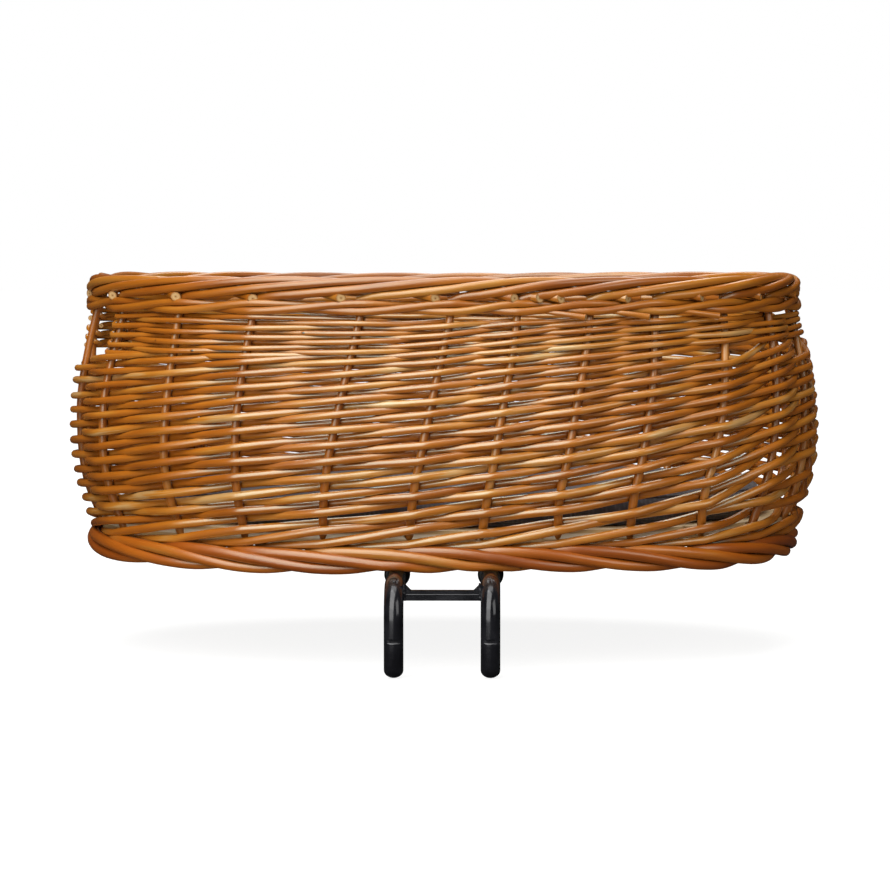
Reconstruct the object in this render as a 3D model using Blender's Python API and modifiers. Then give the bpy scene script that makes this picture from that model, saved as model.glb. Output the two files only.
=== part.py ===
"""A woven willow basket with two hand holes, on a plywood floor, carried by two bent steel tubes.

Metres, +Z up. The origin lies midway between the two legs of the carrier, level with the
underside of the basket's foot. +X runs along the basket's length, and the legs are on its -Y side.
Heights are counted from the foot's underside, and places around the wall in shares of its girth,
which run anticlockwise seen from above, from the +X end.
"""

import math

import bmesh
import bpy
from mathutils import Vector

# Driving dimensions, in metres

CLEARANCE = 0.0003
WEAVE_CLEARANCE = 0.0006
ROW_GAP = 0.0012
CUT_OVERRUN = 0.002

BELLY_HALF_LENGTH = 0.240
BELLY_HALF_DEPTH = 0.179
BELLY_HEIGHT = 0.077
FLOOR_DRAW_IN = 0.012
RIM_DRAW_IN = 0.011
PLAN_POWER = 2.25

STAKE_DIAMETER = 0.0052
WEAVER_THICKNESS = 0.0043
WALE_THICKNESS = 0.0049

FOOT_HEIGHT = 0.0155
FOOT_WIDTH = 0.013
FOOT_OUTSET = 0.0015
FLOOR_THICKNESS = 0.009
FLOOR_EDGE = 0.0046
FLOOR_WALE_THICKNESS = 0.0051
BOTTOM_WALE_HEIGHT = 0.016
SIDING_ROW_HEIGHT = 0.0148
HAND_HOLE_HEIGHT = 0.027
TOP_WALE_HEIGHT = 0.009
BORDER_HEIGHT = 0.016
BORDER_WIDTH = 0.016
BORDER_OUTSET = 0.0

CUSHION_THICKNESS = 0.017
CUSHION_CROWN = 0.004
CUSHION_EDGE_ROUND = 0.005
CUSHION_INSET = 0.0012

TUBE_DIAMETER = 0.012
TUBE_WALL = 0.0015
TUBE_SPACING = 0.059
TUBE_BEND_RADIUS = 0.020
LEG_REACH = 0.035
LEG_DROP = 0.0618
TUBE_RUN = 0.250
NOTCH_RISE = 0.023
NOTCH_HEIGHT = 0.0024
NOTCH_DEPTH = 0.0012

BRACE_DEPTH = 0.008
BRACE_HEIGHT = 0.006
BRACE_DROP = 0.009
BRACE_FLARE = 0.004
BRACE_SETBACK = 0.012

STRAP_THICKNESS = 0.002
STRAP_WIDTH = 0.018
STRAP_SETBACK = 0.115
STRAP_EAR = 0.020
BATTEN_WIDTH = 0.026
BATTEN_EDGE_ROUND = 0.0012

BOLT_DIAMETER = 0.005
BOLT_HEAD_DIAMETER = 0.0096
BOLT_SOCKET_WIDTH = 0.003
NUT_WIDTH = 0.008
NUT_HEIGHT = 0.0046
NUT_FLANGE_DIAMETER = 0.0112
NUT_FLANGE_THICKNESS = 0.0012
BOLT_POINT = 0.0015

# Counts

SIDING_ROWS = 6
HAND_HOLE_ROWS = 2
WALL_COLUMNS_PER_STAKE = 2
RING_COLUMNS = 96
RING_RODS = 3
RING_TURNS = 8
PLAN_STEPS = 720
STAKE_SIDES = 2
TUBE_SIDES = 6
BORE_SIDES = 4
TURNED_SIDES = 16
BEND_STEPS = 7
DOME_STEPS = 4
HUMP_STEPS = 8
FLOOR_COLUMNS = 96
CUSHION_COLUMNS = 48

# Where each stake stands at the floor, as a share of the girth, and how far it leans along the
# wall, as a share of its height. The stakes from the thirteenth to the twenty-third are in front

STAKE_SHARES = (
    0.0416, 0.0844, 0.1271, 0.1699, 0.2127, 0.2555, 0.2982, 0.3410, 0.3838, 0.4265, 0.4693, 0.5120,
    0.5660, 0.6120, 0.6495, 0.6905, 0.7328, 0.7673, 0.8003, 0.8374, 0.8752, 0.9163, 0.9560, 0.9990,
)
STAKE_LEAN_SHARES = (
    0.12, 0.12, 0.12, 0.12, 0.12, 0.12, 0.12, 0.12, 0.12, 0.12, 0.12, 0.12,
    0.0, 0.03, 0.075, 0.195, 0.21, 0.1875, 0.21, 0.18, 0.2025, 0.15, 0.12, 0.12,
)
VALLEY_SHARE = 0.74
CUSHION_SHOULDER_IN_SHARE = 0.5
CUSHION_SHOULDER_UP_SHARE = 0.342
CUSHION_CROWN_SHARES = (0.7, 0.35)

# The hand holes lie between a front run and a back run of stakes, with a bare stake in each hole

BARE_STAKES = 1
FRONT_RUN_STAKES = (12, 22)
BACK_RUN_STAKES = (
    FRONT_RUN_STAKES[1] + BARE_STAKES + 1,
    FRONT_RUN_STAKES[0] + len(STAKE_SHARES) - BARE_STAKES - 1,
)

# Heights worked out from the sizes above

FLOOR_BOTTOM = FOOT_HEIGHT + CLEARANCE
FLOOR_TOP = FLOOR_BOTTOM + FLOOR_THICKNESS
SIDING_BOTTOM = FLOOR_TOP + CLEARANCE + BOTTOM_WALE_HEIGHT
HAND_HOLE_BOTTOM = SIDING_BOTTOM + SIDING_ROWS * SIDING_ROW_HEIGHT
HAND_HOLE_TOP = HAND_HOLE_BOTTOM + HAND_HOLE_HEIGHT
WALL_TOP = HAND_HOLE_TOP + TOP_WALE_HEIGHT
TUBE_AXIS_HEIGHT = -CLEARANCE - TUBE_DIAMETER / 2
PROFILE_KNOTS = (
    FLOOR_BOTTOM,
    SIDING_BOTTOM,
    SIDING_BOTTOM + SIDING_ROW_HEIGHT * SIDING_ROWS / 3,
    SIDING_BOTTOM + SIDING_ROW_HEIGHT * SIDING_ROWS * 2 / 3,
    HAND_HOLE_BOTTOM,
    HAND_HOLE_TOP,
    WALL_TOP,
)

# Places in plan worked out from the sizes above

FOOT_HALF_DEPTH = BELLY_HALF_DEPTH - FLOOR_DRAW_IN + FOOT_OUTSET + FOOT_WIDTH / 2
FOOT_FRONT = LEG_REACH
BASKET_CENTRE_Y = FOOT_FRONT + FOOT_HALF_DEPTH
TUBE_REAR = FOOT_FRONT + TUBE_RUN
BATTEN_HALF_LENGTH = TUBE_SPACING / 2 + TUBE_DIAMETER / 2 + STRAP_EAR
BOLT_X = BATTEN_HALF_LENGTH - STRAP_EAR / 2
STRAP_PLACES = {
    "front": FOOT_FRONT + STRAP_SETBACK,
    "rear": TUBE_REAR - STRAP_SETBACK / 2,
}


def clear_scene():
    for old in list(bpy.data.objects):
        bpy.data.objects.remove(old, do_unlink=True)


def new_collection(name):
    collection = bpy.data.collections.new(name)
    bpy.context.scene.collection.children.link(collection)
    return collection


def new_material(name, color, roughness, metallic=0.0):
    material = bpy.data.materials.new(name)
    material.use_nodes = True
    surface = material.node_tree.nodes["Principled BSDF"]
    surface.inputs["Base Color"].default_value = (*color, 1.0)
    surface.inputs["Roughness"].default_value = roughness
    surface.inputs["Metallic"].default_value = metallic
    return material


def keep_in(collection, part, material=None):
    for owner in list(part.users_collection):
        owner.objects.unlink(part)
    collection.objects.link(part)
    if material is not None:
        part.data.materials.clear()
        part.data.materials.append(material)
    return part


def mesh_object(name, form):
    mesh = bpy.data.meshes.new(name)
    bmesh.ops.recalc_face_normals(form, faces=form.faces)
    form.to_mesh(mesh)
    form.free()
    return bpy.data.objects.new(name, mesh)


def shade_round(part, angle_deg=40):
    part.data.shade_smooth()
    part.data.set_sharp_from_angle(angle=math.radians(angle_deg))
    return part


def hide_cutter(cutter):
    cutter.hide_render = True
    cutter.display_type = "WIRE"
    return keep_in(CUTTERS, cutter)


def apply_boolean(part, cutter, operation):
    modifier = part.modifiers.new(operation.lower(), "BOOLEAN")
    modifier.operation = operation
    modifier.solver = "EXACT"
    modifier.object = cutter


def loft(name, sections, closed):
    """Joins equal-sided sections, each a list of points, into one skin, with end caps if open."""
    form = bmesh.new()
    rings = [[form.verts.new(point) for point in section] for section in sections]
    pairs = list(zip(rings, rings[1:]))
    if closed:
        pairs.append((rings[-1], rings[0]))
    else:
        form.faces.new(rings[0])
        form.faces.new(rings[-1])
    for here, there in pairs:
        for side in range(len(here)):
            after = (side + 1) % len(here)
            form.faces.new((here[side], here[after], there[after], there[side]))
    return mesh_object(name, form)


def tube_along(name, points, radius, sides, radii=None):
    """A round bar along straight runs, as a mesh. radii are shares of the radius at each point."""
    curve = bpy.data.curves.new(name, "CURVE")
    curve.dimensions = "3D"
    curve.bevel_depth = radius
    curve.bevel_resolution = sides
    curve.use_fill_caps = True
    spline = curve.splines.new("POLY")
    spline.points.add(len(points) - 1)
    for index, point in enumerate(points):
        spline.points[index].co = (*point, 1.0)
        spline.points[index].radius = radii[index] if radii else 1.0
    guide = bpy.data.objects.new(name + "_path", curve)
    bpy.context.scene.collection.objects.link(guide)
    bpy.context.view_layer.update()
    evaluated = guide.evaluated_get(bpy.context.evaluated_depsgraph_get())
    mesh = bpy.data.meshes.new_from_object(evaluated)
    form = bmesh.new()
    form.from_mesh(mesh)
    bmesh.ops.remove_doubles(form, verts=form.verts, dist=CLEARANCE / 10)
    bpy.data.meshes.remove(mesh)
    bpy.data.objects.remove(guide, do_unlink=True)
    return mesh_object(name, form)


def turned(name, profile, sides=TURNED_SIDES):
    """A profile of (radius, height) points, top to bottom along its outer side, spun about Z."""
    mesh = bpy.data.meshes.new(name)
    corners = [(radius, 0.0, height) for radius, height in profile]
    mesh.from_pydata(corners, [(i, i + 1) for i in range(len(corners) - 1)], [])
    part = bpy.data.objects.new(name, mesh)
    spin = part.modifiers.new("spin", "SCREW")
    spin.axis = "Z"
    spin.steps = sides
    spin.render_steps = sides
    spin.use_merge_vertices = True
    spin.merge_threshold = CLEARANCE / 10
    return part


def outline_plate(name, outline, depth):
    """A flat outline in X and Z, thickened along Y about the plane through the object's origin."""
    form = bmesh.new()
    front = [form.verts.new((x, -depth / 2, z)) for x, z in outline]
    face = form.faces.new(front)
    grown = bmesh.ops.extrude_face_region(form, geom=[face])
    moved = [item for item in grown["geom"] if isinstance(item, bmesh.types.BMVert)]
    bmesh.ops.translate(form, verts=moved, vec=(0.0, depth, 0.0))
    return mesh_object(name, form)


def rounded_box(name, size, edge):
    form = bmesh.new()
    bmesh.ops.create_cube(form, size=1.0)
    bmesh.ops.scale(form, vec=size, verts=form.verts)
    part = mesh_object(name, form)
    bevel = part.modifiers.new("edge", "BEVEL")
    bevel.width = edge
    bevel.segments = 2
    return part


# The wall's own geometry

def plan_radius(angle, half_length, half_depth):
    along = abs(math.cos(angle) / half_length) ** PLAN_POWER
    across = abs(math.sin(angle) / half_depth) ** PLAN_POWER
    return (along + across) ** (-1 / PLAN_POWER)


def girth_table():
    """Length walked round the belly at each of PLAN_STEPS equal angles."""
    lengths = [0.0]
    last = None
    for step in range(PLAN_STEPS + 1):
        angle = 2 * math.pi * step / PLAN_STEPS
        radius = plan_radius(angle, BELLY_HALF_LENGTH, BELLY_HALF_DEPTH)
        point = Vector((radius * math.cos(angle), radius * math.sin(angle)))
        if last is not None:
            lengths.append(lengths[-1] + (point - last).length)
        last = point
    return lengths


GIRTH_LENGTHS = girth_table()
GIRTH = GIRTH_LENGTHS[-1]


def angle_at(share):
    """Angle in plan of a place given as a share of the girth."""
    turns, part_share = divmod(share, 1.0)
    wanted = part_share * GIRTH
    low, high = 0, PLAN_STEPS
    while high - low > 1:
        middle = (low + high) // 2
        if GIRTH_LENGTHS[middle] <= wanted:
            low = middle
        else:
            high = middle
    span = GIRTH_LENGTHS[high] - GIRTH_LENGTHS[low]
    return 2 * math.pi * (turns + (low + (wanted - GIRTH_LENGTHS[low]) / span) / PLAN_STEPS)


def smooth_draw_in(height):
    if height < BELLY_HEIGHT:
        return FLOOR_DRAW_IN * ((BELLY_HEIGHT - height) / (BELLY_HEIGHT - FLOOR_TOP)) ** 2
    return RIM_DRAW_IN * ((height - BELLY_HEIGHT) / (WALL_TOP - BELLY_HEIGHT)) ** 2


def draw_in(height):
    """How far the stakes stand in from the belly, straight between the profile's knots."""
    knots = PROFILE_KNOTS
    pairs = list(zip(knots, knots[1:]))
    low, high = next((pair for pair in pairs if height <= pair[1]), pairs[-1])
    share = (height - low) / (high - low)
    return smooth_draw_in(low) * (1 - share) + smooth_draw_in(high) * share


def wall_point(share, height, outset=0.0, inset=None):
    """A point of the stakes' surface, moved outwards by outset, square to the wall in plan."""
    pulled = draw_in(height) if inset is None else inset
    half_length = BELLY_HALF_LENGTH - pulled
    half_depth = BELLY_HALF_DEPTH - pulled
    angle = angle_at(share)
    radius = plan_radius(angle, half_length, half_depth)
    x, y = radius * math.cos(angle), radius * math.sin(angle)
    across = math.copysign(abs(x / half_length) ** (PLAN_POWER - 1) / half_length, x)
    along = math.copysign(abs(y / half_depth) ** (PLAN_POWER - 1) / half_depth, y)
    out = Vector((across, along)).normalized() * outset
    return Vector((x + out.x, BASKET_CENTRE_Y + y + out.y, height))


def stake_share(index, height):
    """Share of the girth where a stake stands at a height. Indices run on past the last stake."""
    turns, place = divmod(index, len(STAKE_SHARES))
    lean = STAKE_LEAN_SHARES[place] * (height - FLOOR_TOP) / GIRTH
    return turns + STAKE_SHARES[place] + lean


def column_share(place, height):
    """Share at a place counted in stakes, such as 2.5 for halfway from stake 2 to stake 3."""
    index = math.floor(place)
    here, there = stake_share(index, height), stake_share(index + 1, height)
    return here + (there - here) * (place - index)


# Sub-parts of the basket

def keep_level(end, neighbour, radius):
    """Moves a slanting bar's end along it, until no corner of its cap passes the end's height."""
    along = (neighbour - end).normalized()
    dip = radius * math.hypot(along.x, along.y)
    return end + along * dip / abs(along.z)


def make_stake(index):
    heights = (FLOOR_BOTTOM, *PROFILE_KNOTS[1:])
    points = [wall_point(stake_share(index, height), height) for height in heights]
    radius = STAKE_DIAMETER / 2
    points[0] = keep_level(points[0], points[1], radius)
    points[-1] = keep_level(points[-1], points[-2], radius)
    part = tube_along(f"stake_{index + 1:02d}", points, radius, STAKE_SIDES)
    keep_in(PARTS, shade_round(part), WILLOW_STAKE)


def woven_section(share_low, share_high, low, high, outset, thickness):
    inner, outer = outset - thickness / 2, outset + thickness / 2
    return [
        wall_point(share_low, low, inner),
        wall_point(share_low, low, outer),
        wall_point(share_high, high, outer),
        wall_point(share_high, high, inner),
    ]


def randing(row):
    """For each stake, whether a row passes in front of it: every other one, changing by row."""
    return [(index + row) % 2 == 0 for index in range(len(STAKE_SHARES))]


def waling(first_behind):
    """The same for a row that passes in front of two stakes and behind the third."""
    return [index % 3 != first_behind for index in range(len(STAKE_SHARES))]


def make_woven_row(name, low, high, in_front, thickness, material, places=None):
    """A band woven round the stakes. places gives its first and last stake, if it has ends."""
    reach = STAKE_DIAMETER / 2 + WEAVE_CLEARANCE + thickness / 2
    steps = WALL_COLUMNS_PER_STAKE
    count = len(STAKE_SHARES)
    first, last = places or (0, count)

    def section(place, shift=0.0):
        index = math.floor(place)
        share = place - index
        here = reach if in_front[index % count] else -reach
        there = reach if in_front[(index + 1) % count] else -reach
        outset = here + (there - here) * share
        low_share = column_share(place, low) + shift
        high_share = column_share(place, high) + shift
        return woven_section(low_share, high_share, low, high, outset, thickness)

    columns = [first + column / steps for column in range((last - first) * steps + 1)]
    if places is None:
        sections = [section(place) for place in columns[:-1]]
    else:
        lap = (STAKE_DIAMETER / 2 + thickness) / GIRTH
        sections = [section(first, -lap)]
        sections += [section(place) for place in columns]
        sections.append(section(last, lap))
    part = loft(name, sections, closed=places is None)
    keep_in(PARTS, shade_round(part), material)


def row_edges(bottom, height):
    return bottom + ROW_GAP / 2, bottom + height - ROW_GAP / 2


def make_siding():
    for row in range(SIDING_ROWS):
        low, high = row_edges(SIDING_BOTTOM + row * SIDING_ROW_HEIGHT, SIDING_ROW_HEIGHT)
        name = f"siding_row_{row + 1}"
        make_woven_row(name, low, high, randing(row), WEAVER_THICKNESS, WILLOW_PALE)


def make_hand_hole_rows():
    """Rows level with the hand holes, one run in front and one behind, which turn back at the holes."""
    runs = {"front": FRONT_RUN_STAKES, "back": BACK_RUN_STAKES}
    height = HAND_HOLE_HEIGHT / HAND_HOLE_ROWS
    for side, places in runs.items():
        for row in range(HAND_HOLE_ROWS):
            low, high = row_edges(HAND_HOLE_BOTTOM + row * height, height)
            name = f"{side}_upper_row_{row + 1}"
            in_front = randing(SIDING_ROWS + row)
            make_woven_row(name, low, high, in_front, WEAVER_THICKNESS, WILLOW_PALE, places)


def make_wales():
    """Stronger bands above the floor and under the border, and one round the floor's edge."""
    low, high = FLOOR_TOP + CLEARANCE, SIDING_BOTTOM - ROW_GAP / 2
    make_woven_row("bottom_wale", low, high, waling(0), WALE_THICKNESS, WILLOW_GOLD)
    low, high = HAND_HOLE_TOP + ROW_GAP / 2, WALL_TOP
    make_woven_row("top_wale", low, high, waling(1), WALE_THICKNESS, WILLOW_GOLD)

    outset = FLOOR_EDGE + CLEARANCE + FLOOR_WALE_THICKNESS / 2
    sections = []
    for column in range(FLOOR_COLUMNS):
        share = column / FLOOR_COLUMNS
        sections.append(
            woven_section(share, share, FLOOR_BOTTOM, FLOOR_TOP, outset, FLOOR_WALE_THICKNESS)
        )
    part = loft("floor_wale", sections, closed=True)
    keep_in(PARTS, shade_round(part), WILLOW_GOLD)


def make_twisted_ring(name, level, bottom, height, width, outset, turn_sense, material):
    """Rods laid round each other on the plan at a level, as one ring with a ridge for each rod."""
    pull = draw_in(level)
    corner_count = RING_RODS * 2
    sections = []
    for column in range(RING_COLUMNS):
        share = column / RING_COLUMNS
        twist = turn_sense * 2 * math.pi * RING_TURNS * share
        section = []
        for corner in range(corner_count):
            angle = twist + 2 * math.pi * corner / corner_count
            size = 1.0 if corner % 2 == 0 else VALLEY_SHARE
            out = outset + size * math.cos(angle) * width / 2
            up = bottom + (1 + size * math.sin(angle)) * height / 2
            section.append(wall_point(share, up, out, inset=pull))
        sections.append(section)
    part = loft(name, sections, closed=True)
    keep_in(PARTS, shade_round(part, 60), material)


def make_borders():
    make_twisted_ring(
        "foot_border", FLOOR_BOTTOM, 0.0, FOOT_HEIGHT, FOOT_WIDTH, FOOT_OUTSET, -1, WILLOW_FOOT
    )
    make_twisted_ring(
        "top_border", WALL_TOP, WALL_TOP + CLEARANCE, BORDER_HEIGHT, BORDER_WIDTH, BORDER_OUTSET, 1,
        WILLOW_GOLD,
    )


def stake_hole_cutter():
    """One slanted bar for each stake's hole, as separate bodies in one mesh."""
    form = bmesh.new()
    radius = (STAKE_DIAMETER / 2 + CLEARANCE) / math.cos(math.pi / TURNED_SIDES)
    for index in range(len(STAKE_SHARES)):
        low = wall_point(stake_share(index, FLOOR_BOTTOM), FLOOR_BOTTOM)
        high = wall_point(stake_share(index, SIDING_BOTTOM), SIDING_BOTTOM)
        along = (high - low).normalized()
        start = low - along * CUT_OVERRUN
        end = low + along * (FLOOR_THICKNESS + CUT_OVERRUN) / along.z
        length = (end - start).length
        turn = Vector((0.0, 0.0, 1.0)).rotation_difference(along).to_matrix().to_4x4()
        turn.translation = (start + end) / 2
        bmesh.ops.create_cone(
            form, cap_ends=True, segments=TURNED_SIDES // 2, radius1=radius, radius2=radius,
            depth=length, matrix=turn,
        )
    return hide_cutter(mesh_object("stake_hole_cutter", form))


def bolt_places():
    return [(name, side * BOLT_X, y) for name, y in STRAP_PLACES.items() for side in (-1, 1)]


def bolt_hole_cutter(name, top, bottom):
    """Straight bars at the four bolts."""
    form = bmesh.new()
    radius = BOLT_DIAMETER / 2 + CLEARANCE
    for _, x, y in bolt_places():
        shaft = bmesh.ops.create_cone(
            form, cap_ends=True, segments=TURNED_SIDES, radius1=radius, radius2=radius,
            depth=top - bottom + 2 * CUT_OVERRUN,
        )
        bmesh.ops.translate(form, verts=shaft["verts"], vec=(x, y, (top + bottom) / 2))
    return hide_cutter(mesh_object(name, form))


def bolt_sink_cutter(name, top):
    """The countersinks of the four bolts' heads."""
    form = bmesh.new()
    hole_radius = BOLT_DIAMETER / 2 + CLEARANCE
    head_radius = BOLT_HEAD_DIAMETER / 2 + CLEARANCE
    depth = head_radius - hole_radius
    for _, x, y in bolt_places():
        cone = bmesh.ops.create_cone(
            form, cap_ends=True, segments=TURNED_SIDES, radius1=hole_radius - CUT_OVERRUN / 2,
            radius2=head_radius + CUT_OVERRUN / 2, depth=depth + CUT_OVERRUN,
        )
        bmesh.ops.translate(form, verts=cone["verts"], vec=(x, y, top - depth / 2))
    return hide_cutter(mesh_object(name, form))


def make_floor():
    form = bmesh.new()
    corners = []
    for column in range(FLOOR_COLUMNS):
        share = column / FLOOR_COLUMNS
        corners.append(form.verts.new(wall_point(share, FLOOR_BOTTOM, FLOOR_EDGE)))
    face = form.faces.new(corners)
    grown = bmesh.ops.extrude_face_region(form, geom=[face])
    moved = [item for item in grown["geom"] if isinstance(item, bmesh.types.BMVert)]
    bmesh.ops.translate(form, verts=moved, vec=(0.0, 0.0, FLOOR_THICKNESS))
    part = mesh_object("floor_board", form)
    apply_boolean(part, stake_hole_cutter(), "DIFFERENCE")
    shafts = bolt_hole_cutter("floor_bolt_cutter", FLOOR_TOP, FLOOR_BOTTOM)
    apply_boolean(part, shafts, "DIFFERENCE")
    apply_boolean(part, bolt_sink_cutter("floor_sink_cutter", FLOOR_TOP), "DIFFERENCE")
    keep_in(PARTS, part, PLYWOOD)


def cushion_point(share, inset, height):
    """A point on the cushion's plan, which keeps clear of the narrowest part of the wall."""
    reach = STAKE_DIAMETER / 2 + WALE_THICKNESS + CLEARANCE + CUSHION_INSET
    return wall_point(share, height, -reach - inset, inset=RIM_DRAW_IN)


def make_cushion():
    """A flat pad with rounded drawn-in sides and a crowned top, lying on the floor board."""
    bottom = FLOOR_TOP + CLEARANCE
    top = bottom + CUSHION_THICKNESS
    shoulder_in = CUSHION_EDGE_ROUND * CUSHION_SHOULDER_IN_SHARE
    shoulder_up = CUSHION_EDGE_ROUND * CUSHION_SHOULDER_UP_SHARE
    rings = [
        (CUSHION_EDGE_ROUND, bottom),
        (shoulder_in, bottom + shoulder_up),
        (0.0, (bottom + top) / 2),
        (shoulder_in, top - shoulder_up),
        (CUSHION_EDGE_ROUND, top),
    ]
    sections = []
    for inset, height in rings:
        sections.append([
            cushion_point(column / CUSHION_COLUMNS, inset, height)
            for column in range(CUSHION_COLUMNS)
        ])
    centre = Vector((0.0, BASKET_CENTRE_Y, top))
    edge = sections[-1]
    for share in CUSHION_CROWN_SHARES:
        rise = CUSHION_CROWN * math.cos(math.pi / 2 * share)
        ring = [centre.lerp(point, share) + Vector((0.0, 0.0, rise)) for point in edge]
        sections.append(ring)
    form = bmesh.new()
    grid = [[form.verts.new(point) for point in section] for section in sections]
    for here, there in zip(grid, grid[1:]):
        for column in range(CUSHION_COLUMNS):
            after = (column + 1) % CUSHION_COLUMNS
            form.faces.new((here[column], here[after], there[after], there[column]))
    form.faces.new(grid[0])
    tip = form.verts.new(centre + Vector((0.0, 0.0, CUSHION_CROWN)))
    for column in range(CUSHION_COLUMNS):
        form.faces.new((grid[-1][column], grid[-1][(column + 1) % CUSHION_COLUMNS], tip))
    bmesh.ops.translate(form, verts=form.verts, vec=(0.0, -BASKET_CENTRE_Y, -bottom))
    part = mesh_object("cushion", form)
    part.location = (0.0, BASKET_CENTRE_Y, bottom)
    keep_in(PARTS, shade_round(part), CUSHION_CLOTH)


# Sub-parts of the carrier

def tube_path(x, rear, leg_end):
    """From the rear end forwards, round the bend and down the leg."""
    centre_y = TUBE_BEND_RADIUS
    centre_z = TUBE_AXIS_HEIGHT - TUBE_BEND_RADIUS
    points = [(x, rear, TUBE_AXIS_HEIGHT)]
    for step in range(BEND_STEPS + 1):
        angle = math.pi / 2 * (1 + step / BEND_STEPS)
        y = centre_y + TUBE_BEND_RADIUS * math.cos(angle)
        points.append((x, y, centre_z + TUBE_BEND_RADIUS * math.sin(angle)))
    points.append((x, 0.0, leg_end))
    return points


def make_tube(side_name, side):
    x = side * TUBE_SPACING / 2
    radius = TUBE_DIAMETER / 2
    dome_start = -LEG_DROP + radius
    points = tube_path(x, TUBE_REAR, dome_start)
    radii = [1.0] * len(points)
    for step in range(1, DOME_STEPS):
        angle = math.pi / 2 * step / DOME_STEPS
        points.append((x, 0.0, dome_start - radius * math.sin(angle)))
        radii.append(math.cos(angle))
    part = tube_along(f"{side_name}_tube", points, radius, TUBE_SIDES, radii)
    bore_points = tube_path(x, TUBE_REAR + CUT_OVERRUN, dome_start)
    bore = tube_along(f"{side_name}_bore_cutter", bore_points, radius - TUBE_WALL, BORE_SIDES)
    apply_boolean(part, hide_cutter(bore), "DIFFERENCE")
    notch_size = (TUBE_DIAMETER, TUBE_DIAMETER, NOTCH_HEIGHT)
    notch = rounded_box(f"{side_name}_notch_cutter", notch_size, NOTCH_HEIGHT / 4)
    notch.location = (x, -TUBE_DIAMETER + NOTCH_DEPTH, -LEG_DROP + NOTCH_RISE)
    apply_boolean(part, hide_cutter(notch), "DIFFERENCE")
    keep_in(PARTS, shade_round(part), BLACK_STEEL)


def make_brace():
    """A bar between the tubes where they bend, with ends that flare up to the tubes."""
    end = TUBE_SPACING / 2 - TUBE_DIAMETER / 2 - CLEARANCE
    top = -BRACE_DROP
    bottom = top - BRACE_HEIGHT
    outline = [
        (-end, bottom), (end, bottom), (end, top + BRACE_FLARE), (end - BRACE_FLARE, top),
        (-end + BRACE_FLARE, top), (-end, top + BRACE_FLARE),
    ]
    part = outline_plate("cross_brace", outline, BRACE_DEPTH)
    part.location = (0.0, BRACE_SETBACK, 0.0)
    keep_in(PARTS, part, BLACK_STEEL)


def strap_outline():
    """Lower edge left to right, then the upper edge back: ears, two humps and the flat between."""
    top = -CLEARANCE
    bottom = top - STRAP_THICKNESS
    inner = TUBE_DIAMETER / 2 + CLEARANCE
    outer = inner + STRAP_THICKNESS

    def hump(centre, radius, level):
        points = [(centre - radius, level)]
        for step in range(HUMP_STEPS + 1):
            angle = math.pi * (1 + step / HUMP_STEPS)
            across = radius * math.cos(angle)
            points.append((centre + across, TUBE_AXIS_HEIGHT + radius * math.sin(angle)))
        points.append((centre + radius, level))
        return points

    half = TUBE_SPACING / 2
    below = [(-BATTEN_HALF_LENGTH, bottom), *hump(-half, outer, bottom), *hump(half, outer, bottom)]
    below.append((BATTEN_HALF_LENGTH, bottom))
    above = [(-BATTEN_HALF_LENGTH, top), *hump(-half, inner, top), *hump(half, inner, top)]
    above.append((BATTEN_HALF_LENGTH, top))
    return below + above[::-1]


def make_clamp(name, y):
    """A batten under the floor and the steel strap that holds both tubes up against it."""
    bottom, top = 0.0, FLOOR_BOTTOM - CLEARANCE
    size = (2 * BATTEN_HALF_LENGTH, BATTEN_WIDTH, top - bottom)
    batten = rounded_box(f"{name}_batten", size, BATTEN_EDGE_ROUND)
    batten.location = (0.0, y, (top + bottom) / 2)
    cutter = bolt_hole_cutter(f"{name}_batten_bolt_cutter", top, bottom)
    apply_boolean(batten, cutter, "DIFFERENCE")
    keep_in(PARTS, batten, BATTEN_WOOD)

    strap = outline_plate(f"{name}_strap", strap_outline(), STRAP_WIDTH)
    strap.location = (0.0, y, 0.0)
    strap_low = -CLEARANCE - STRAP_THICKNESS
    cutter = bolt_hole_cutter(f"{name}_strap_bolt_cutter", -CLEARANCE, strap_low)
    apply_boolean(strap, cutter, "DIFFERENCE")
    keep_in(PARTS, shade_round(strap), BLACK_STEEL)


def make_bolt(name, x, y):
    """Countersunk, flush with the floor's top, and long enough to pass through its nut."""
    shaft = BOLT_DIAMETER / 2
    head = BOLT_HEAD_DIAMETER / 2
    top = FLOOR_TOP
    nut_bottom = -2 * CLEARANCE - STRAP_THICKNESS - NUT_HEIGHT
    profile = [
        (0.0, top), (head, top), (head, top - CLEARANCE), (shaft, top - CLEARANCE - head + shaft),
        (shaft, nut_bottom), (shaft - BOLT_POINT / 2, nut_bottom - BOLT_POINT),
        (0.0, nut_bottom - BOLT_POINT),
    ]
    part = turned(f"{name}_bolt", profile)
    part.location = (x, y, 0.0)
    form = bmesh.new()
    depth = (head - shaft) / 2
    bmesh.ops.create_cone(
        form, cap_ends=True, segments=6, radius1=BOLT_SOCKET_WIDTH / 2, radius2=BOLT_SOCKET_WIDTH / 2,
        depth=2 * depth,
    )
    socket = hide_cutter(mesh_object(f"{name}_socket_cutter", form))
    socket.location = (x, y, top)
    apply_boolean(part, socket, "DIFFERENCE")
    keep_in(PARTS, part, ZINC)


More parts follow.
